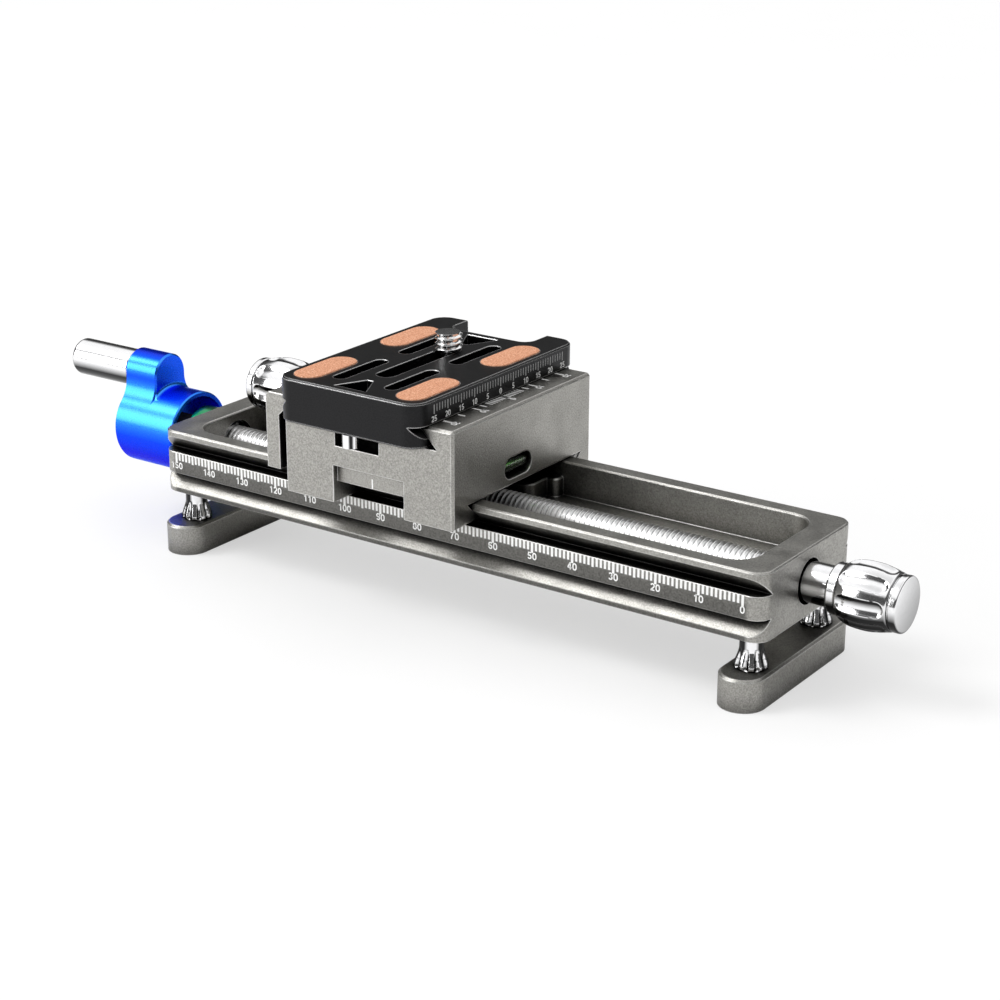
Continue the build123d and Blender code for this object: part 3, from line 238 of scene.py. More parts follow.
def bump(nodes, links, bsdf, height, strength, distance, soft=None):
    node = nodes.new("ShaderNodeBump")
    if soft:
        links.new(soft, node.inputs["Normal"])
    node.inputs["Strength"].default_value = strength
    node.inputs["Distance"].default_value = distance
    links.new(height, node.inputs["Height"])
    links.new(node.outputs["Normal"], bsdf.inputs["Normal"])


def shade(col, k):
    """A colour k times as bright."""
    return tuple(min(1.0, c * k) for c in col)


def grey(level):
    return (level, level, level)


def blended(nodes, links, colour, other, way):
    mix = nodes.new("ShaderNodeMix")
    mix.data_type = "RGBA"
    mix.blend_type = way
    mix.inputs["Factor"].default_value = 1.0
    links.new(colour, mix.inputs["A"])
    links.new(other, mix.inputs["B"])
    return mix.outputs["Result"]


def darkened(nodes, links, colour, factor):
    """A colour multiplied by a grey factor."""
    return blended(nodes, links, colour, factor, "MULTIPLY")


def hollow_shade(nodes, links, colour, reach, deep, low, high):
    """Darkens a colour in grooves and corners."""
    occlusion = nodes.new("ShaderNodeAmbientOcclusion")
    occlusion.samples = SHADER_SAMPLES
    occlusion.inputs["Distance"].default_value = reach
    tone = ramp(nodes, links, occlusion.outputs["AO"], [(low, grey(deep)), (high, grey(1.0))])
    return darkened(nodes, links, colour, tone)


def rim_shade(nodes, links, colour, start, end, deep):
    """Darkens a polished surface where it turns away from the eye, as a dark studio wall does."""
    weight = nodes.new("ShaderNodeLayerWeight")
    weight.inputs["Blend"].default_value = 0.5
    tone = ramp(nodes, links, weight.outputs["Facing"], [(start, grey(1.0)), (end, grey(deep))])
    return darkened(nodes, links, colour, tone)


def facing_stripe(nodes, links, colour):
    """Paints a reflection on a polished pin: a dark line down its middle, where the room before it shows."""
    weight = nodes.new("ShaderNodeLayerWeight")
    weight.inputs["Blend"].default_value = 0.5
    stops = [(0.06, grey(0.03)), (0.1, grey(1.0)), (0.5, grey(1.0)), (0.7, grey(0.05))]
    return darkened(nodes, links, colour, ramp(nodes, links, weight.outputs["Facing"], stops))


def scale_band(nodes, links, coord, colour):
    """Paints shade on the band behind the rail's scale, darkest in the row of figures."""
    split = nodes.new("ShaderNodeSeparateXYZ")
    links.new(coord.outputs["Object"], split.inputs["Vector"])
    tone = None
    for axis, stops in (
        ("Y", [(RAIL_LOW.y + 0.04, 1.0), (RAIL_LOW.y + 0.1, 0.0)]),
        ("X", [(-BAND_END, 0.0), (BAND_FADE - BAND_END, 1.0), (BAND_END - BAND_FADE, 1.0), (BAND_END, 0.0)]),
        ("Z", BAND_SHADE_LEVELS),
    ):
        low = stops[0][0] - 1
        high = stops[-1][0] + 1
        place = nodes.new("ShaderNodeMapRange")
        place.inputs["From Min"].default_value = low * MM
        place.inputs["From Max"].default_value = high * MM
        links.new(split.outputs[axis], place.inputs["Value"])
        shares = [((at - low) / (high - low), grey(level)) for at, level in stops]
        inside = ramp(nodes, links, place.outputs["Result"], shares)
        tone = inside if tone is None else darkened(nodes, links, tone, inside)
    shadow = ramp(nodes, links, tone, [(0.0, grey(1.0)), (1.0, grey(0.36))])
    return darkened(nodes, links, colour, shadow)


def soft_edge(nodes, width):
    """Normals that roll over each sharp edge."""
    bevel = nodes.new("ShaderNodeBevel")
    bevel.samples = SHADER_SAMPLES
    bevel.inputs["Radius"].default_value = width * MM
    return bevel.outputs["Normal"]


def edge_glow(nodes, links, colour, soft, gain):
    """Paints a highlight into a colour along each sharp edge, where the rolled normals turn from the
    surface's own.
    """
    geometry = nodes.new("ShaderNodeNewGeometry")
    turn = nodes.new("ShaderNodeVectorMath")
    turn.operation = "DOT_PRODUCT"
    links.new(soft, turn.inputs[0])
    links.new(geometry.outputs["Normal"], turn.inputs[1])
    painted_highlight = ramp(nodes, links, turn.outputs["Value"], [(0.86, grey(gain)), (0.995, grey(0.0))])
    return blended(nodes, links, colour, painted_highlight, "ADD")


def upward(nodes, links):
    """How far a surface faces up: 0 straight down, 0.5 level, 1 straight up."""
    geometry = nodes.new("ShaderNodeNewGeometry")
    split = nodes.new("ShaderNodeSeparateXYZ")
    links.new(geometry.outputs["Normal"], split.inputs["Vector"])
    lift = nodes.new("ShaderNodeMapRange")
    lift.inputs["From Min"].default_value = -1.0
    lift.inputs["From Max"].default_value = 1.0
    links.new(split.outputs["Z"], lift.inputs["Value"])
    return lift.outputs["Result"]


def under_shade(nodes, links, colour, start, end, deep):
    """Darkens what faces the ground, where polished metal shows the shade beneath it."""
    stops = [((end + 1) / 2, grey(deep)), ((start + 1) / 2, grey(1.0))]
    return darkened(nodes, links, colour, ramp(nodes, links, upward(nodes, links), stops))


def metal(
    name, col, rough, grain=2500.0, spread=0.1, bumps=0.05, rough_spread=0.08, coat=0.0,
    hollow=None, rim=None, under=None, band=False, reflection_stripe=False, edge=None,
):
    """A metal with grain in its colour, roughness and surface.

    hollow is (reach, tone, low, high) of hollow_shade, rim and under are (start, end, tone) of rim_shade
    and under_shade, and edge is (width, gain) of soft_edge and edge_glow, which paints a highlight
    along sharp edges. band adds the painted shade of scale_band, and stripe the painted reflection
    of facing_stripe.
    """
    mat, nodes, links, bsdf = new_material(name)
    coord = nodes.new("ShaderNodeTexCoord")
    fine = noise(nodes, links, coord, grain, detail=3.0, rough=0.6)
    colour = ramp(nodes, links, fine, [(0.3, shade(col, 1 - spread)), (0.7, shade(col, 1 + spread))])
    # edge rolls the normals over sharp edges and paints a highlight along them.
    soft = soft_edge(nodes, edge[0]) if edge else None
    if edge:
        colour = edge_glow(nodes, links, colour, soft, edge[1])
    if hollow:
        colour = hollow_shade(nodes, links, colour, *hollow)
    if rim:
        colour = rim_shade(nodes, links, colour, *rim)
    if under:
        colour = under_shade(nodes, links, colour, *under)
    # band paints shade on the band behind the rail's scale.
    if band:
        colour = scale_band(nodes, links, coord, colour)
    # stripe paints a dark reflection down a polished pin.
    if reflection_stripe:
        colour = facing_stripe(nodes, links, colour)
    links.new(colour, bsdf.inputs["Base Color"])
    cloud = noise(nodes, links, coord, 180.0)
    uneven = map_range(nodes, links, cloud, rough - rough_spread, rough + rough_spread)
    links.new(uneven, bsdf.inputs["Roughness"])
    bsdf.inputs["Metallic"].default_value = 1.0
    bsdf.inputs["Coat Weight"].default_value = coat
    bsdf.inputs["Coat Roughness"].default_value = 0.08
    if bumps:
        bump(nodes, links, bsdf, fine, bumps, GRAIN_DEPTH, soft)
    return mat


def plain(name, col, rough, grain=1500.0, spread=0.08, bumps=0.05):
    """A non-metal with a fine grain."""
    mat, nodes, links, bsdf = new_material(name)
    coord = nodes.new("ShaderNodeTexCoord")
    fine = noise(nodes, links, coord, grain, detail=3.0, rough=0.6)
    colour = ramp(nodes, links, fine, [(0.3, shade(col, 1 - spread)), (0.7, shade(col, 1 + spread))])
    links.new(colour, bsdf.inputs["Base Color"])
    links.new(map_range(nodes, links, fine, rough - 0.05, rough + 0.05), bsdf.inputs["Roughness"])
    bump(nodes, links, bsdf, fine, bumps, GRAIN_DEPTH)
    return mat


def cork(name):
    """Speckled cork and rubber."""
    mat, nodes, links, bsdf = new_material(name)
    coord = nodes.new("ShaderNodeTexCoord")
    cells = nodes.new("ShaderNodeTexVoronoi")
    cells.inputs["Scale"].default_value = 2600.0
    links.new(coord.outputs["Object"], cells.inputs["Vector"])
    fine = noise(nodes, links, coord, 3800.0, detail=4.0, rough=0.7)
    mix = nodes.new("ShaderNodeMix")
    mix.data_type = "FLOAT"
    mix.inputs["Factor"].default_value = 0.6
    links.new(cells.outputs["Distance"], mix.inputs["A"])
    links.new(fine, mix.inputs["B"])
    stops = [
        (0.28, (0.26, 0.09, 0.045)), (0.4, (0.6, 0.26, 0.145)),
        (0.55, (0.72, 0.345, 0.2)), (0.7, (0.9, 0.55, 0.37)),
    ]
    links.new(ramp(nodes, links, mix.outputs["Result"], stops), bsdf.inputs["Base Color"])
    bsdf.inputs["Roughness"].default_value = 0.9
    bump(nodes, links, bsdf, mix.outputs["Result"], 0.5, 1.5 * GRAIN_DEPTH)
    return mat


def blue_anodised(name):
    """Dyed, polished anodising with painted shade deep blue facing down and a painted cyan highlight facing
    up and forward.
    """
    mat, nodes, links, bsdf = new_material(name)
    coord = nodes.new("ShaderNodeTexCoord")
    fine = noise(nodes, links, coord, 2500.0, detail=3.0, rough=0.6)
    lift = upward(nodes, links)
    # The colour steps by how far the surface faces up: painted shade below, a painted highlight above.
    sheen = [
        (0.2, (0.0, 0.03, 0.8)), (0.45, (0.002, 0.06, 1.0)), (0.58, (0.015, 0.17, 1.0)),
        (0.8, (0.05, 0.33, 1.0)), (0.92, (0.004, 0.09, 0.92)), (1.0, (0.002, 0.05, 0.8)),
    ]
    grain = ramp(nodes, links, fine, [(0.3, grey(0.94)), (0.7, grey(1.0))])
    colour = darkened(nodes, links, ramp(nodes, links, lift, sheen), grain)
    links.new(colour, bsdf.inputs["Base Color"])
    links.new(map_range(nodes, links, fine, 0.26, 0.3), bsdf.inputs["Roughness"])
    bsdf.inputs["Metallic"].default_value = 0.92
    bsdf.inputs["Specular Tint"].default_value = (0.04, 0.3, 1.0, 1.0)
    bsdf.inputs["Coat Weight"].default_value = 0.15
    bsdf.inputs["Coat Tint"].default_value = (0.9, 0.98, 1.0, 1.0)
    bsdf.inputs["Coat Roughness"].default_value = 0.14
    bump(nodes, links, bsdf, fine, 0.01, GRAIN_DEPTH)
    return mat


def glass(name, col, rough, ior):
    mat, nodes, links, bsdf = new_material(name)
    coord = nodes.new("ShaderNodeTexCoord")
    cloud = noise(nodes, links, coord, 400.0)
    colour = ramp(nodes, links, cloud, [(0.2, shade(col, 0.94)), (0.8, col)])
    links.new(colour, bsdf.inputs["Base Color"])
    bsdf.inputs["Roughness"].default_value = rough
    bsdf.inputs["IOR"].default_value = ior
    bsdf.inputs["Transmission Weight"].default_value = 1.0
    return mat


# ---------------------------------------------------------------- the looks
# In these looks edge rolls the normals over sharp edges and paints a highlight along them.
GREY_METAL = dict(
    col=(0.34, 0.333, 0.312), rough=0.38, grain=3000.0, spread=0.32, bumps=0.6, edge=(0.45, 0.6),
)
POLISHED = dict(grain=900.0, spread=0.03, bumps=0.0)

METALS = {
    "rail_grey": dict(GREY_METAL, hollow=(0.009, 0.04, 0.3, 0.75)),
    # rail_grey_band_shade is rail_grey with painted shade on the band behind the scale.
    "rail_grey_band_shade": dict(GREY_METAL, hollow=(0.009, 0.03, 0.3, 0.75), band=True),
    "anodised_black": dict(
        col=(0.02, 0.02, 0.021), rough=0.36, grain=3000.0, spread=0.2, bumps=0.15,
        rough_spread=0.06, coat=0.08, edge=(0.45, 0.75),
    ),
    "anodised_green": dict(
        col=(0.0, 0.30, 0.10), rough=0.2, spread=0.1, bumps=0.03, rough_spread=0.05, coat=0.4,
    ),
    # chrome and the copies after it are one metal with different painted shade and painted reflections;
    # thread_bright is painted lighter.
    "chrome": dict(
        POLISHED, col=(0.86, 0.86, 0.87), rough=0.14, rough_spread=0.03,
        hollow=(0.003, 0.04, 0.2, 0.7), rim=(0.55, 0.82, 0.04), under=(0.05, -0.35, 0.03),
    ),
    "thread_bright": dict(
        POLISHED, col=(0.95, 0.95, 0.95), rough=0.3, rough_spread=0.04, hollow=(0.0016, 0.03, 0.3, 0.62),
    ),
    "screw_bright": dict(
        POLISHED, col=(0.85, 0.85, 0.85), rough=0.13, rough_spread=0.04, hollow=(0.0012, 0.03, 0.25, 0.65),
    ),
    "post_bright": dict(
        POLISHED, col=(0.88, 0.88, 0.89), rough=0.12, rough_spread=0.04,
        hollow=(0.0025, 0.02, 0.35, 0.75), rim=(0.13, 0.25, 0.03),
    ),
    # pin_bright paints a reflection: a dark line down the pin's middle.
    "pin_bright": dict(POLISHED, col=(0.9, 0.9, 0.91), rough=0.12, rough_spread=0.03, reflection_stripe=True),
    "steel": dict(col=(0.6, 0.6, 0.61), rough=0.28),
    "brass": dict(col=(0.72, 0.5, 0.2), rough=0.25),
}
PLAINS = {
    "spacer_dark": dict(col=(0.03, 0.03, 0.03), rough=0.5),
    "gib_plastic": dict(col=(0.75, 0.75, 0.72), rough=0.5),
    "paint_white": dict(col=(0.86, 0.86, 0.85), rough=0.55, grain=900.0, spread=0.03, bumps=0.02),
    "paint_grey": dict(col=(0.32, 0.32, 0.32), rough=0.55, grain=900.0, spread=0.05, bumps=0.02),
}
GLASSES = {
    "vial_clear": dict(col=(0.97, 1.0, 0.97), rough=0.02, ior=1.47),
    "vial_green": dict(col=(0.45, 1.0, 0.3), rough=0.03, ior=1.36),
}

MATS = {name: metal(name, **look) for name, look in METALS.items()}
MATS.update({name: plain(name, **look) for name, look in PLAINS.items()})
MATS.update({name: glass(name, **look) for name, look in GLASSES.items()})
MATS["anodised_blue"] = blue_anodised("anodised_blue")
MATS["pad_cork"] = cork("pad_cork")


# ---------------------------------------------------------------- mesh helpers
def link(name, data):
    """Puts a mesh, light or camera into the scene as an object."""
    obj = bpy.data.objects.new(name, data)
    bpy.context.scene.collection.objects.link(obj)
    return obj


def piece(name, bm, body, slot, mat=None, stands_for=(), smooth=0.6):
    """Turns a bmesh in millimetres into an object that rides on a body.

    smooth is the angle in radians past which an edge stays sharp.
    """
    bmesh.ops.recalc_face_normals(bm, faces=bm.faces)
    bmesh.ops.scale(bm, vec=(MM, MM, MM), verts=bm.verts)
    mesh = bpy.data.meshes.new(name)
    bm.to_mesh(mesh)
    bm.free()
    obj = link(name, mesh)
    mesh.materials.append(MATS[mat or slot])
    for poly in mesh.polygons:
        poly.use_smooth = True
    mesh.set_sharp_from_angle(angle=smooth)
    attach(obj, body)
    if stands_for:
        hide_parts(*stands_for)
    return obj


def turn_to_x(bm, origin, out=1):
    """Takes a form built about +Z from the origin to one that runs along X from a point."""
    turn = Matrix.Rotation(math.pi / 2 * out, 4, "Y")
    bmesh.ops.transform(bm, matrix=Matrix.Translation(origin) @ turn, verts=bm.verts)


def turned(stations, segments, radius=None):
    """A closed turned form about +Z. Each station is (height, radius); radius(h, r, angle) may carve it."""
    bm = bmesh.new()
    rings = []
    for h, r in stations:
        ring = []
        for k in range(segments):
            a = 2 * math.pi * k / segments
            rr = radius(h, r, a) if radius else r
            ring.append(bm.verts.new((rr * math.cos(a), rr * math.sin(a), h)))
        rings.append(ring)
    for low, high in zip(rings, rings[1:]):
        for k in range(segments):
            n = (k + 1) % segments
            bm.faces.new((low[k], low[n], high[n], high[k]))
    bm.faces.new(list(reversed(rings[0])))
    bm.faces.new(rings[-1])
    return bm


def smooth_stations(points, step):
    """Stations along a polyline of (height, radius), no further apart than step."""
    out = [points[0]]
    for (h0, r0), (h1, r1) in zip(points, points[1:]):
        n = max(1, math.ceil(math.hypot(h1 - h0, r1 - r0) / step))
        out += [(h0 + (h1 - h0) * k / n, r0 + (r1 - r0) * k / n) for k in range(1, n + 1)]
    return out


def arc_points(points, count=8):
    """A Catmull-Rom curve through points, for a polished crown."""
    out = []
    for i, (p1, p2) in enumerate(zip(points, points[1:])):
        p0 = points[max(i - 1, 0)]
        p3 = points[min(i + 2, len(points) - 1)]
        for k in range(count):
            t = k / count
            row = []
            for a, b, c, d in zip(p0, p1, p2, p3):
                linear = (c - a) * t
                square = (2 * a - 5 * b + 4 * c - d) * t * t
                cube = (3 * b - a - 3 * c + d) * t * t * t
                row.append((2 * b + linear + square + cube) / 2)
            out.append(tuple(row))
    out.append(points[-1])
    return out


def add_form(bm, other):
    """Moves the faces of another bmesh into bm."""
    mesh = bpy.data.meshes.new("form")
    other.to_mesh(mesh)
    other.free()
    bm.from_mesh(mesh)
    bpy.data.meshes.remove(mesh)


def threaded_rod(length, major, minor, pitch, steps=32):
    """A rod with a right-hand helical thread, from height 0 to length."""
    bm = bmesh.new()
    # The thread's outline as (share of the pitch, radius).
    shape = [(0.0, minor), (0.12, minor), (0.44, major), (0.56, major), (0.88, minor)]
    turns = math.ceil(length / pitch) + 4
    rows = []
    for i in range(turns * steps + 1):
        a = 2 * math.pi * i / steps
        z0 = pitch * (i / steps - 2)
        rows.append([bm.verts.new((r * math.cos(a), r * math.sin(a), z0 + p * pitch)) for p, r in shape])
    for i in range(len(rows) - 1):
        for k in range(len(shape) - 1):
            bm.faces.new((rows[i][k], rows[i + 1][k], rows[i + 1][k + 1], rows[i][k + 1]))
        above = i + steps
        if above + 1 < len(rows):
            bm.faces.new((rows[i][-1], rows[i + 1][-1], rows[above + 1][0], rows[above][0]))
    bmesh.ops.remove_doubles(bm, verts=bm.verts, dist=1e-5)
    for height, side in ((0.0, -1), (length, 1)):
        bmesh.ops.bisect_plane(
            bm, geom=bm.verts[:] + bm.edges[:] + bm.faces[:], plane_co=(0, 0, height),
            plane_no=(0, 0, side), clear_outer=True, dist=1e-5,
        )
        rim = [e for e in bm.edges if e.is_boundary and all(abs(v.co.z - height) < 1e-4 for v in e.verts)]
        bmesh.ops.holes_fill(bm, edges=rim)
    return bm


def box_into(bm, x0, x1, y0, y1, z0, z1):
    v = [bm.verts.new((x, y, z)) for x in (x0, x1) for y in (y0, y1) for z in (z0, z1)]
    for f in ((0, 1, 3, 2), (4, 6, 7, 5), (0, 4, 5, 1), (2, 3, 7, 6), (0, 2, 6, 4), (1, 5, 7, 3)):
        bm.faces.new([v[i] for i in f])


def bow(cx, cy, rx, ry, start, end, count=9):
    """Points on an ellipse between two angles in degrees."""
    points = []
    for k in range(count + 1):
        a = math.radians(start + (end - start) * k / count)
        points.append((cx + rx * math.cos(a), cy + ry * math.sin(a)))
    return points


# Centre lines of the figures, one unit high.
SIX = [bow(0, 0.31, 0.24, 0.225, 0, 360, 18), bow(0.02, 0.66, 0.26, 0.255, 35, 172) + [(-0.245, 0.33)]]
FIGURES = {
    "0": [bow(0, 0.62, 0.24, 0.295, 0, 180) + bow(0, 0.38, 0.24, 0.295, 180, 360) + [(0.24, 0.62)]],
    "1": [[(0.07, 1.0), (0.07, 0.0)], [(-0.21, 0.72), (-0.02, 0.82), (0.07, 0.94)]],
    "2": [bow(0, 0.67, 0.24, 0.245, 165, -35) + [(-0.2, 0.12)], [(-0.29, 0.085), (0.29, 0.085)]],
    "3": [bow(-0.01, 0.71, 0.21, 0.205, 155, -90), bow(-0.01, 0.295, 0.24, 0.21, 90, -155)],
    "4": [[(0.11, 0.0), (0.11, 1.0)], [(0.09, 0.95), (-0.25, 0.31)], [(-0.31, 0.27), (0.3, 0.27)]],
    "5": [[(0.25, 0.915), (-0.15, 0.915), (-0.2, 0.47)], bow(-0.01, 0.31, 0.25, 0.23, 135, -155)],
    "6": SIX,
    "7": [[(-0.27, 0.915), (0.22, 0.915), (0.04, 0.6), (-0.07, 0.3), (-0.11, 0.0)]],
    "8": [bow(0, 0.715, 0.2, 0.2, 0, 360, 16), bow(0, 0.3, 0.24, 0.215, 0, 360, 18)],
    "9": [[(-x, 1 - y) for x, y in line] for line in SIX],
}


def ribbon(bm, line, half, place):
    """A flat bar that follows a line of points. Its ends, or its joint if the line closes, are square."""
    rows = []
    last = len(line) - 1
    ring = math.dist(line[0], line[-1]) < 1e-6
    for k, (x, y) in enumerate(line):
        before = line[last - 1] if ring and k == 0 else line[max(k - 1, 0)]
        after = line[1] if ring and k == last else line[min(k + 1, last)]
        dx = after[0] - before[0]
        dy = after[1] - before[1]
        size = math.hypot(dx, dy)
        nx = -dy / size * half
        ny = dx / size * half
        section = ((1, MARK), (-1, MARK), (-1, -MARK), (1, -MARK))
        rows.append([bm.verts.new(place @ Vector((x + s * nx, y + s * ny, h))) for s, h in section])
    for low, high in zip(rows, rows[1:]):
        for k in range(4):
            n = (k + 1) % 4
            bm.faces.new((low[k], low[n], high[n], high[k]))
    bm.faces.new(rows[0])
    bm.faces.new(list(reversed(rows[-1])))


def number_into(bm, text, height, place):
    """Adds raised figures to bm. place is a matrix that takes the XY text plane to the surface."""
    for k, digit in enumerate(text):
        shift = (k - (len(text) - 1) / 2) * FIGURE_STEP
        for line in FIGURES[digit]:
            points = [((x + shift) * height, (y - 0.5) * height) for x, y in line]
            ribbon(bm, points, FIGURE_STROKE * height / 2, place)


# ---------------------------------------------------------------- materials for the CAD pieces that stay
LOOKS = {"stop_pins": "pin_bright", "rail_body": "rail_grey_band_shade"}
for entry in frame["record"]["subparts"]:
    obj = frame["nodes"][entry["node"]]
    obj.data.materials.clear()
    obj.data.materials.append(MATS[LOOKS.get(entry["node"], entry["material_slot"])])


# ---------------------------------------------------------------- threads
def lead_screw():
    low, high = corners("leadscrew")
    start = corners("bearing_inner_race")[1].x
    bm = threaded_rod(SCREW_END_X - start, SCREW_MAJOR_R, SCREW_MINOR_R, SCREW_PITCH)
    turn_to_x(bm, (start, 0, SCREW_CENTRE.z))
    for a, b in ((low.x, start + OVERLAP), (SCREW_END_X - OVERLAP, high.x)):
        stations = [(a, JOURNAL_R - JOURNAL_CHAMFER), (a + JOURNAL_CHAMFER, JOURNAL_R), (b, JOURNAL_R)]
        journal = turned(stations, JOURNAL_SEGMENTS)
        turn_to_x(journal, (0, 0, SCREW_CENTRE.z))
        add_form(bm, journal)
    piece(
        "leadscrew_thread", bm, "leadscrew", "chrome", "thread_bright",
        stands_for=("leadscrew",), smooth=0.5,
    )


def camera_thread():
    low, high = corners("camera_screw")
    start = high.z - CAMERA_THREAD_LENGTH
    bm = threaded_rod(
        CAMERA_THREAD_LENGTH, CAMERA_MAJOR_R, CAMERA_MINOR_R, CAMERA_PITCH, CAMERA_THREAD_STEPS,
    )
    bmesh.ops.translate(bm, vec=(CAMERA_CENTRE.x, CAMERA_CENTRE.y, start), verts=bm.verts)
    neck = turned([(low.z, CAMERA_NECK_R), (start + OVERLAP / 2, CAMERA_NECK_R)], JOURNAL_SEGMENTS)
    bmesh.ops.translate(neck, vec=(CAMERA_CENTRE.x, CAMERA_CENTRE.y, 0), verts=neck.verts)
    add_form(bm, neck)
    piece(
        "camera_screw_thread", bm, "camera_screw", "chrome", "screw_bright",
        stands_for=("camera_screw",), smooth=0.5,
    )


def clamp_thread():
    low, high = corners("clamp_screw")
    bm = threaded_rod(high.x - low.x, CLAMP_MAJOR_R, CLAMP_MINOR_R, CLAMP_PITCH)
    turn_to_x(bm, (low.x, 0, CLAMP_CENTRE.z))
    piece("clamp_screw_thread", bm, "clamp_knob", "chrome", stands_for=("clamp_screw",), smooth=0.5)


# ---------------------------------------------------------------- fluted knobs and posts
def flute_depth(distance):
    """Depth of a scalloped flute at a distance from its centre line."""
    if distance >= FLUTE_HALF:
        return 0.0
    return math.sqrt(FLUTE_CUT_R**2 - distance**2) - math.sqrt(FLUTE_CUT_R**2 - FLUTE_HALF**2)


def fluted_radius(h, r, a):
    """The knob's radius, with a ring of round-ended flutes between two heights."""
    pitch = 2 * math.pi / FLUTES
    off = (a + pitch / 2) % pitch - pitch / 2
    along = max(FLUTE_START + FLUTE_HALF - h, h - (FLUTE_END - FLUTE_HALF), 0.0)
    return r - flute_depth(math.hypot(off * r, along))


def knob(node, neck_x, out, z):
    """A barrel-shaped knob that starts at its collar and ends in a grooved cap."""
    profile = KNOB_COLLAR + arc_points(KNOB_CROWN) + KNOB_GROOVE + KNOB_CAP
    bm = turned(smooth_stations(profile, KNOB_STEP), KNOB_SEGMENTS, fluted_radius)
    turn_to_x(bm, (neck_x, 0, z), out)
    piece(f"{node}_fluted", bm, node, "chrome", stands_for=(node,), smooth=0.7)


def petal_radius(h, r, a):
    """The post's radius, with grooves between the petals that fade out up the neck and at the foot."""
    fade_up = min(1.0, max(0.0, (PETAL_TOP - h) / PETAL_FADE))
    fade_down = min(1.0, max(0.0, h / PETAL_FOOT))
    return r * (1 - PETAL_DEPTH * fade_up * fade_down * abs(math.cos(PETALS / 2 * a)) ** 5)


def foot_posts():
    """Four bell-shaped posts, one over each end of the two feet."""
    posts = []
    for foot in ("foot_left", "foot_right"):
        top = corners(foot)[1]
        for y in (POST_INSET - top.y, top.y - POST_INSET):
            bm = turned(smooth_stations(POST_SKIRT + POST_NECK, POST_STEP), POST_SEGMENTS, petal_radius)
            bmesh.ops.translate(bm, vec=(centre(foot).x, y, top.z), verts=bm.verts)
            posts.append(piece(f"foot_post_{len(posts)}", bm, "rail", "chrome", "post_bright", smooth=0.9))
    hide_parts("foot_posts")


# ---------------------------------------------------------------- scales
def kind_of(mark, ticks):
    """The rarest kind of tick that falls on a mark."""
    return max(every for every in ticks if mark % every == 0)


def rail_scale():
    """A scale in millimetres along the rail's front, with a figure at each tenth mark."""
    ticks = bmesh.new()
    figures = bmesh.new()
    turn = Matrix.Rotation(math.pi / 2, 4, "X")
    y = RAIL_LOW.y
    for mark in range(SCALE_LENGTH + 1):
        x = SCALE_ZERO_X - mark
        every = kind_of(mark, SCALE_TICKS)
        length, width = SCALE_TICKS[every]
        half = width / 2
        box_into(ticks, x - half, x + half, y - MARK, y + MARK, SCALE_TOP - length, SCALE_TOP - SCALE_MARGIN)
        if every == SCALE_FIGURE_EVERY:
            place = Matrix.Translation((x, y, SCALE_FIGURE_Z)) @ turn
            number_into(figures, str(mark), SCALE_FIGURE_HEIGHT, place)
    piece("rail_scale_ticks", ticks, "rail", "rail_grey", "paint_white")
    piece("rail_scale_figures", figures, "rail", "rail_grey", "paint_white")


def plate_scale():
    """A scale both ways from the middle of the plate's right side."""
    ticks = bmesh.new()
    figures = bmesh.new()
    upright = Matrix(((0, 0, 1, 0), (1, 0, 0, 0), (0, 1, 0, 0), (0, 0, 0, 1)))
    x = PLATE_HIGH.x
    for mark in range(-PLATE_REACH, PLATE_REACH + 1):
        y = mark * PLATE_STEP
        every = kind_of(mark, PLATE_TICKS)
        length, width = PLATE_TICKS[every]
        half = width / 2
        box_into(ticks, x - MARK, x + MARK, y - half, y + half, PLATE_TICK_TOP - length, PLATE_TICK_TOP)
        if every == PLATE_FIGURE_EVERY:
            place = Matrix.Translation((x, y, PLATE_FIGURE_Z)) @ upright
            number_into(figures, str(abs(mark)), PLATE_FIGURE_HEIGHT, place)
    piece("plate_scale_ticks", ticks, "plate", "anodised_black", "paint_grey")
    piece("plate_scale_figures", figures, "plate", "anodised_black", "paint_white")


def jaw_scale():
    """Marks on the fixed jaw's top, which the plate's scale is read against."""
    marks = bmesh.new()
    side = PLATE_HIGH.x
    top = CARRIAGE_HIGH.z
    turn = Matrix.Rotation(-math.pi / 2, 4, "Z")

    def line(y, reach, width):
        half = width / 2
        box_into(marks, side + JAW_START, side + reach, y - half, y + half, top - MARK, top + MARK)

    for k in range(-JAW_LONG_REACH, JAW_LONG_REACH + 1):
        y = k * JAW_LONG_STEP
        line(y, *JAW_LONG)
        place = Matrix.Translation((side + JAW_FIGURE_OUT, y, top)) @ turn
        number_into(marks, str(abs(k * JAW_FIGURE_STEP)), JAW_FIGURE_HEIGHT, place)
    for y in JAW_SHORT_PLACES:
        line(y, *JAW_SHORT)
    for k in range(-JAW_FINE_REACH, JAW_FINE_REACH + 1):
        line(k * JAW_FINE_STEP, *JAW_FINE)
    piece("jaw_scale_marks", marks, "carriage", "rail_grey", "paint_white")


def index_mark():
    """The line in the carriage's window that the rail's scale is read against."""
    bm = bmesh.new()
    half = INDEX_WIDTH / 2
    x = INDEX_X
    y = INDEX_Y
    box_into(bm, x - half, x + half, y - MARK, y + MARK, INDEX_Z, INDEX_Z + INDEX_HEIGHT)
    piece("index_line", bm, "carriage", "rail_grey", "paint_white")


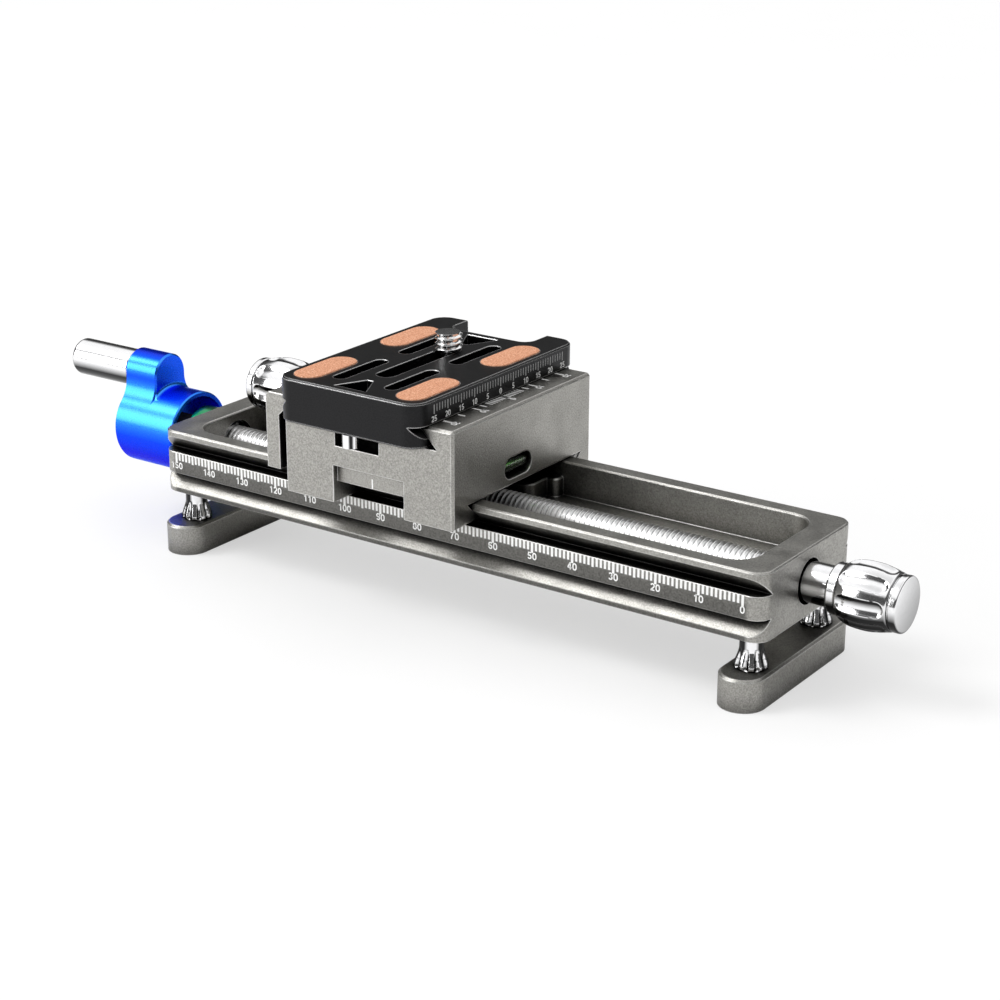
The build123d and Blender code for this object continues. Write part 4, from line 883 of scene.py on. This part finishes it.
# ---------------------------------------------------------------- pads
def pad_form(x, y, z0, z1):
    """A round-ended pad with a rolled edge."""
    straight = PAD_HALF_LENGTH - PAD_HALF_WIDTH
    bm = bmesh.new()
    loops = []
    for inset, z in [(0.0, z0)] + [(inset, z1 - depth) for inset, depth in PAD_ROLL]:
        r = PAD_HALF_WIDTH - inset
        loop = []
        for k in range(PAD_SEGMENTS):
            a = 2 * math.pi * k / PAD_SEGMENTS
            shift = straight if math.sin(a) >= 0 else -straight
            loop.append(bm.verts.new((x + r * math.cos(a), y + shift + r * math.sin(a), z)))
        loops.append(loop)
    for low, high in zip(loops, loops[1:]):
        for k in range(PAD_SEGMENTS):
            n = (k + 1) % PAD_SEGMENTS
            bm.faces.new((low[k], low[n], high[n], high[k]))
    bm.faces.new(loops[-1])
    bm.faces.new(list(reversed(loops[0])))
    return bm


def plate_pads():
    pads = []
    low, high = corners("plate_pads")
    for x in (low.x + PAD_HALF_WIDTH, high.x - PAD_HALF_WIDTH):
        for y in (low.y + PAD_HALF_LENGTH, high.y - PAD_HALF_LENGTH):
            bm = pad_form(x, y, low.z, high.z)
            pads.append(piece(f"plate_pad_{len(pads)}", bm, "plate", "pad_cork", smooth=1.0))
    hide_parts("plate_pads")


lead_screw()
camera_thread()
clamp_thread()
knob("lock_knob", corners("lock_knob")[0].x, 1, SCREW_CENTRE.z)
knob("clamp_knob", corners("clamp_knob")[1].x, -1, CLAMP_CENTRE.z)
foot_posts()
rail_scale()
plate_scale()
jaw_scale()
index_mark()
plate_pads()


# ---------------------------------------------------------------- floor, light and camera
FLOOR_HALF = 4.0                # metres
FLOOR_LIFT = 0.55               # share of plain white that the camera sees in the floor
# The dome's brightness, from the horizon at 0 to straight up at 1.
DOME = [(0.0, 0.25), (0.08, 0.08), (0.46, 0.08), (0.6, 1.1), (0.85, 1.15), (1.0, 0.85)]
# Places and sizes below are in metres, angles in degrees, and the lens and sensor in millimetres.
KEY_DIRECTION = (-0.54, -0.34, 0.77)
KEY_ANGLE = 24
KEY_STRENGTH = 1.0
BOX_PLACE = (-0.62, -0.78, 0.3)
BOX_AIM = (0, 0, 0.02)
BOX_SIZE = (0.6, 0.45)
BOX_POWER = 4.5
CAMERA_PLACE = (0.26791, -0.37707, 0.17694)
CAMERA_YAW = 35.068
CAMERA_TILT = 20.058
CAMERA_ROLL = 0.071
CAMERA_LENS = 80.27
CAMERA_SENSOR = 36.0


def floor_material():
    """A pale floor whose shade the camera sees lightened."""
    mat, nodes, links, bsdf = new_material("floor_pale")
    coord = nodes.new("ShaderNodeTexCoord")
    cloud = noise(nodes, links, coord, 30.0)
    colour = ramp(nodes, links, cloud, [(0.2, grey(0.93)), (0.8, grey(0.95))])
    links.new(colour, bsdf.inputs["Base Color"])
    bsdf.inputs["Roughness"].default_value = 0.9
    bsdf.inputs["Specular IOR Level"].default_value = 0.0
    path = nodes.new("ShaderNodeLightPath")
    share = nodes.new("ShaderNodeMapRange")
    share.inputs["To Max"].default_value = FLOOR_LIFT
    links.new(path.outputs["Is Camera Ray"], share.inputs["Value"])
    white = nodes.new("ShaderNodeEmission")
    mix = nodes.new("ShaderNodeMixShader")
    out = next(n for n in nodes if n.type == "OUTPUT_MATERIAL")
    links.new(share.outputs["Result"], mix.inputs["Fac"])
    links.new(bsdf.outputs["BSDF"], mix.inputs[1])
    links.new(white.outputs["Emission"], mix.inputs[2])
    links.new(mix.outputs["Shader"], out.inputs["Surface"])
    return mat


def make_floor():
    mesh = bpy.data.meshes.new("floor")
    ground = CAD_BOX[0].z
    signs = ((-1, -1), (1, -1), (1, 1), (-1, 1))
    points = [(sx * FLOOR_HALF, sy * FLOOR_HALF, ground) for sx, sy in signs]
    mesh.from_pydata(points, [], [(0, 1, 2, 3)])
    mesh.materials.append(floor_material())
    obj = link("floor", mesh)


def make_world():
    """A dome that is dark round the horizon and bright above, as soft boxes overhead are."""
    world = bpy.data.worlds.new("studio")
    bpy.context.scene.world = world
    world.use_nodes = True
    nodes = world.node_tree.nodes
    links = world.node_tree.links
    nodes.clear()
    out = nodes.new("ShaderNodeOutputWorld")
    lit = nodes.new("ShaderNodeBackground")
    coord = nodes.new("ShaderNodeTexCoord")
    split = nodes.new("ShaderNodeSeparateXYZ")
    links.new(coord.outputs["Generated"], split.inputs["Vector"])
    dome = ramp(nodes, links, split.outputs["Z"], [(z, grey(level)) for z, level in DOME])
    links.new(dome, lit.inputs["Color"])
    links.new(lit.outputs["Background"], out.inputs["Surface"])


def make_key():
    data = bpy.data.lights.new("key", "SUN")
    data.angle = math.radians(KEY_ANGLE)
    data.energy = KEY_STRENGTH
    link("key", data).rotation_euler = Vector(KEY_DIRECTION).to_track_quat("Z", "Y").to_euler()


def make_soft_box():
    data = bpy.data.lights.new("front_box", "AREA")
    data.shape = "RECTANGLE"
    data.size, data.size_y = BOX_SIZE
    data.energy = BOX_POWER
    obj = link("front_box", data)
    obj.location = BOX_PLACE
    obj.rotation_euler = (Vector(BOX_PLACE) - Vector(BOX_AIM)).to_track_quat("Z", "Y").to_euler()


def make_camera():
    yaw = math.radians(CAMERA_YAW)
    tilt = math.radians(CAMERA_TILT)
    back = Vector((math.sin(yaw) * math.cos(tilt), -math.cos(yaw) * math.cos(tilt), math.sin(tilt)))
    right = Vector((math.cos(yaw), math.sin(yaw), 0))
    up = back.cross(right)
    data = bpy.data.cameras.new("camera")
    data.lens = CAMERA_LENS
    data.sensor_width = CAMERA_SENSOR
    data.clip_start = 0.01
    obj = link("camera", data)
    axes = Matrix((right, up, back)).transposed().to_4x4()
    roll = Matrix.Rotation(math.radians(CAMERA_ROLL), 4, "Z")
    obj.matrix_world = Matrix.Translation(CAMERA_PLACE) @ axes @ roll
    bpy.context.scene.camera = obj


make_floor()
make_world()
make_key()
make_soft_box()
make_camera()
bpy.context.scene.view_settings.view_transform = "Standard"
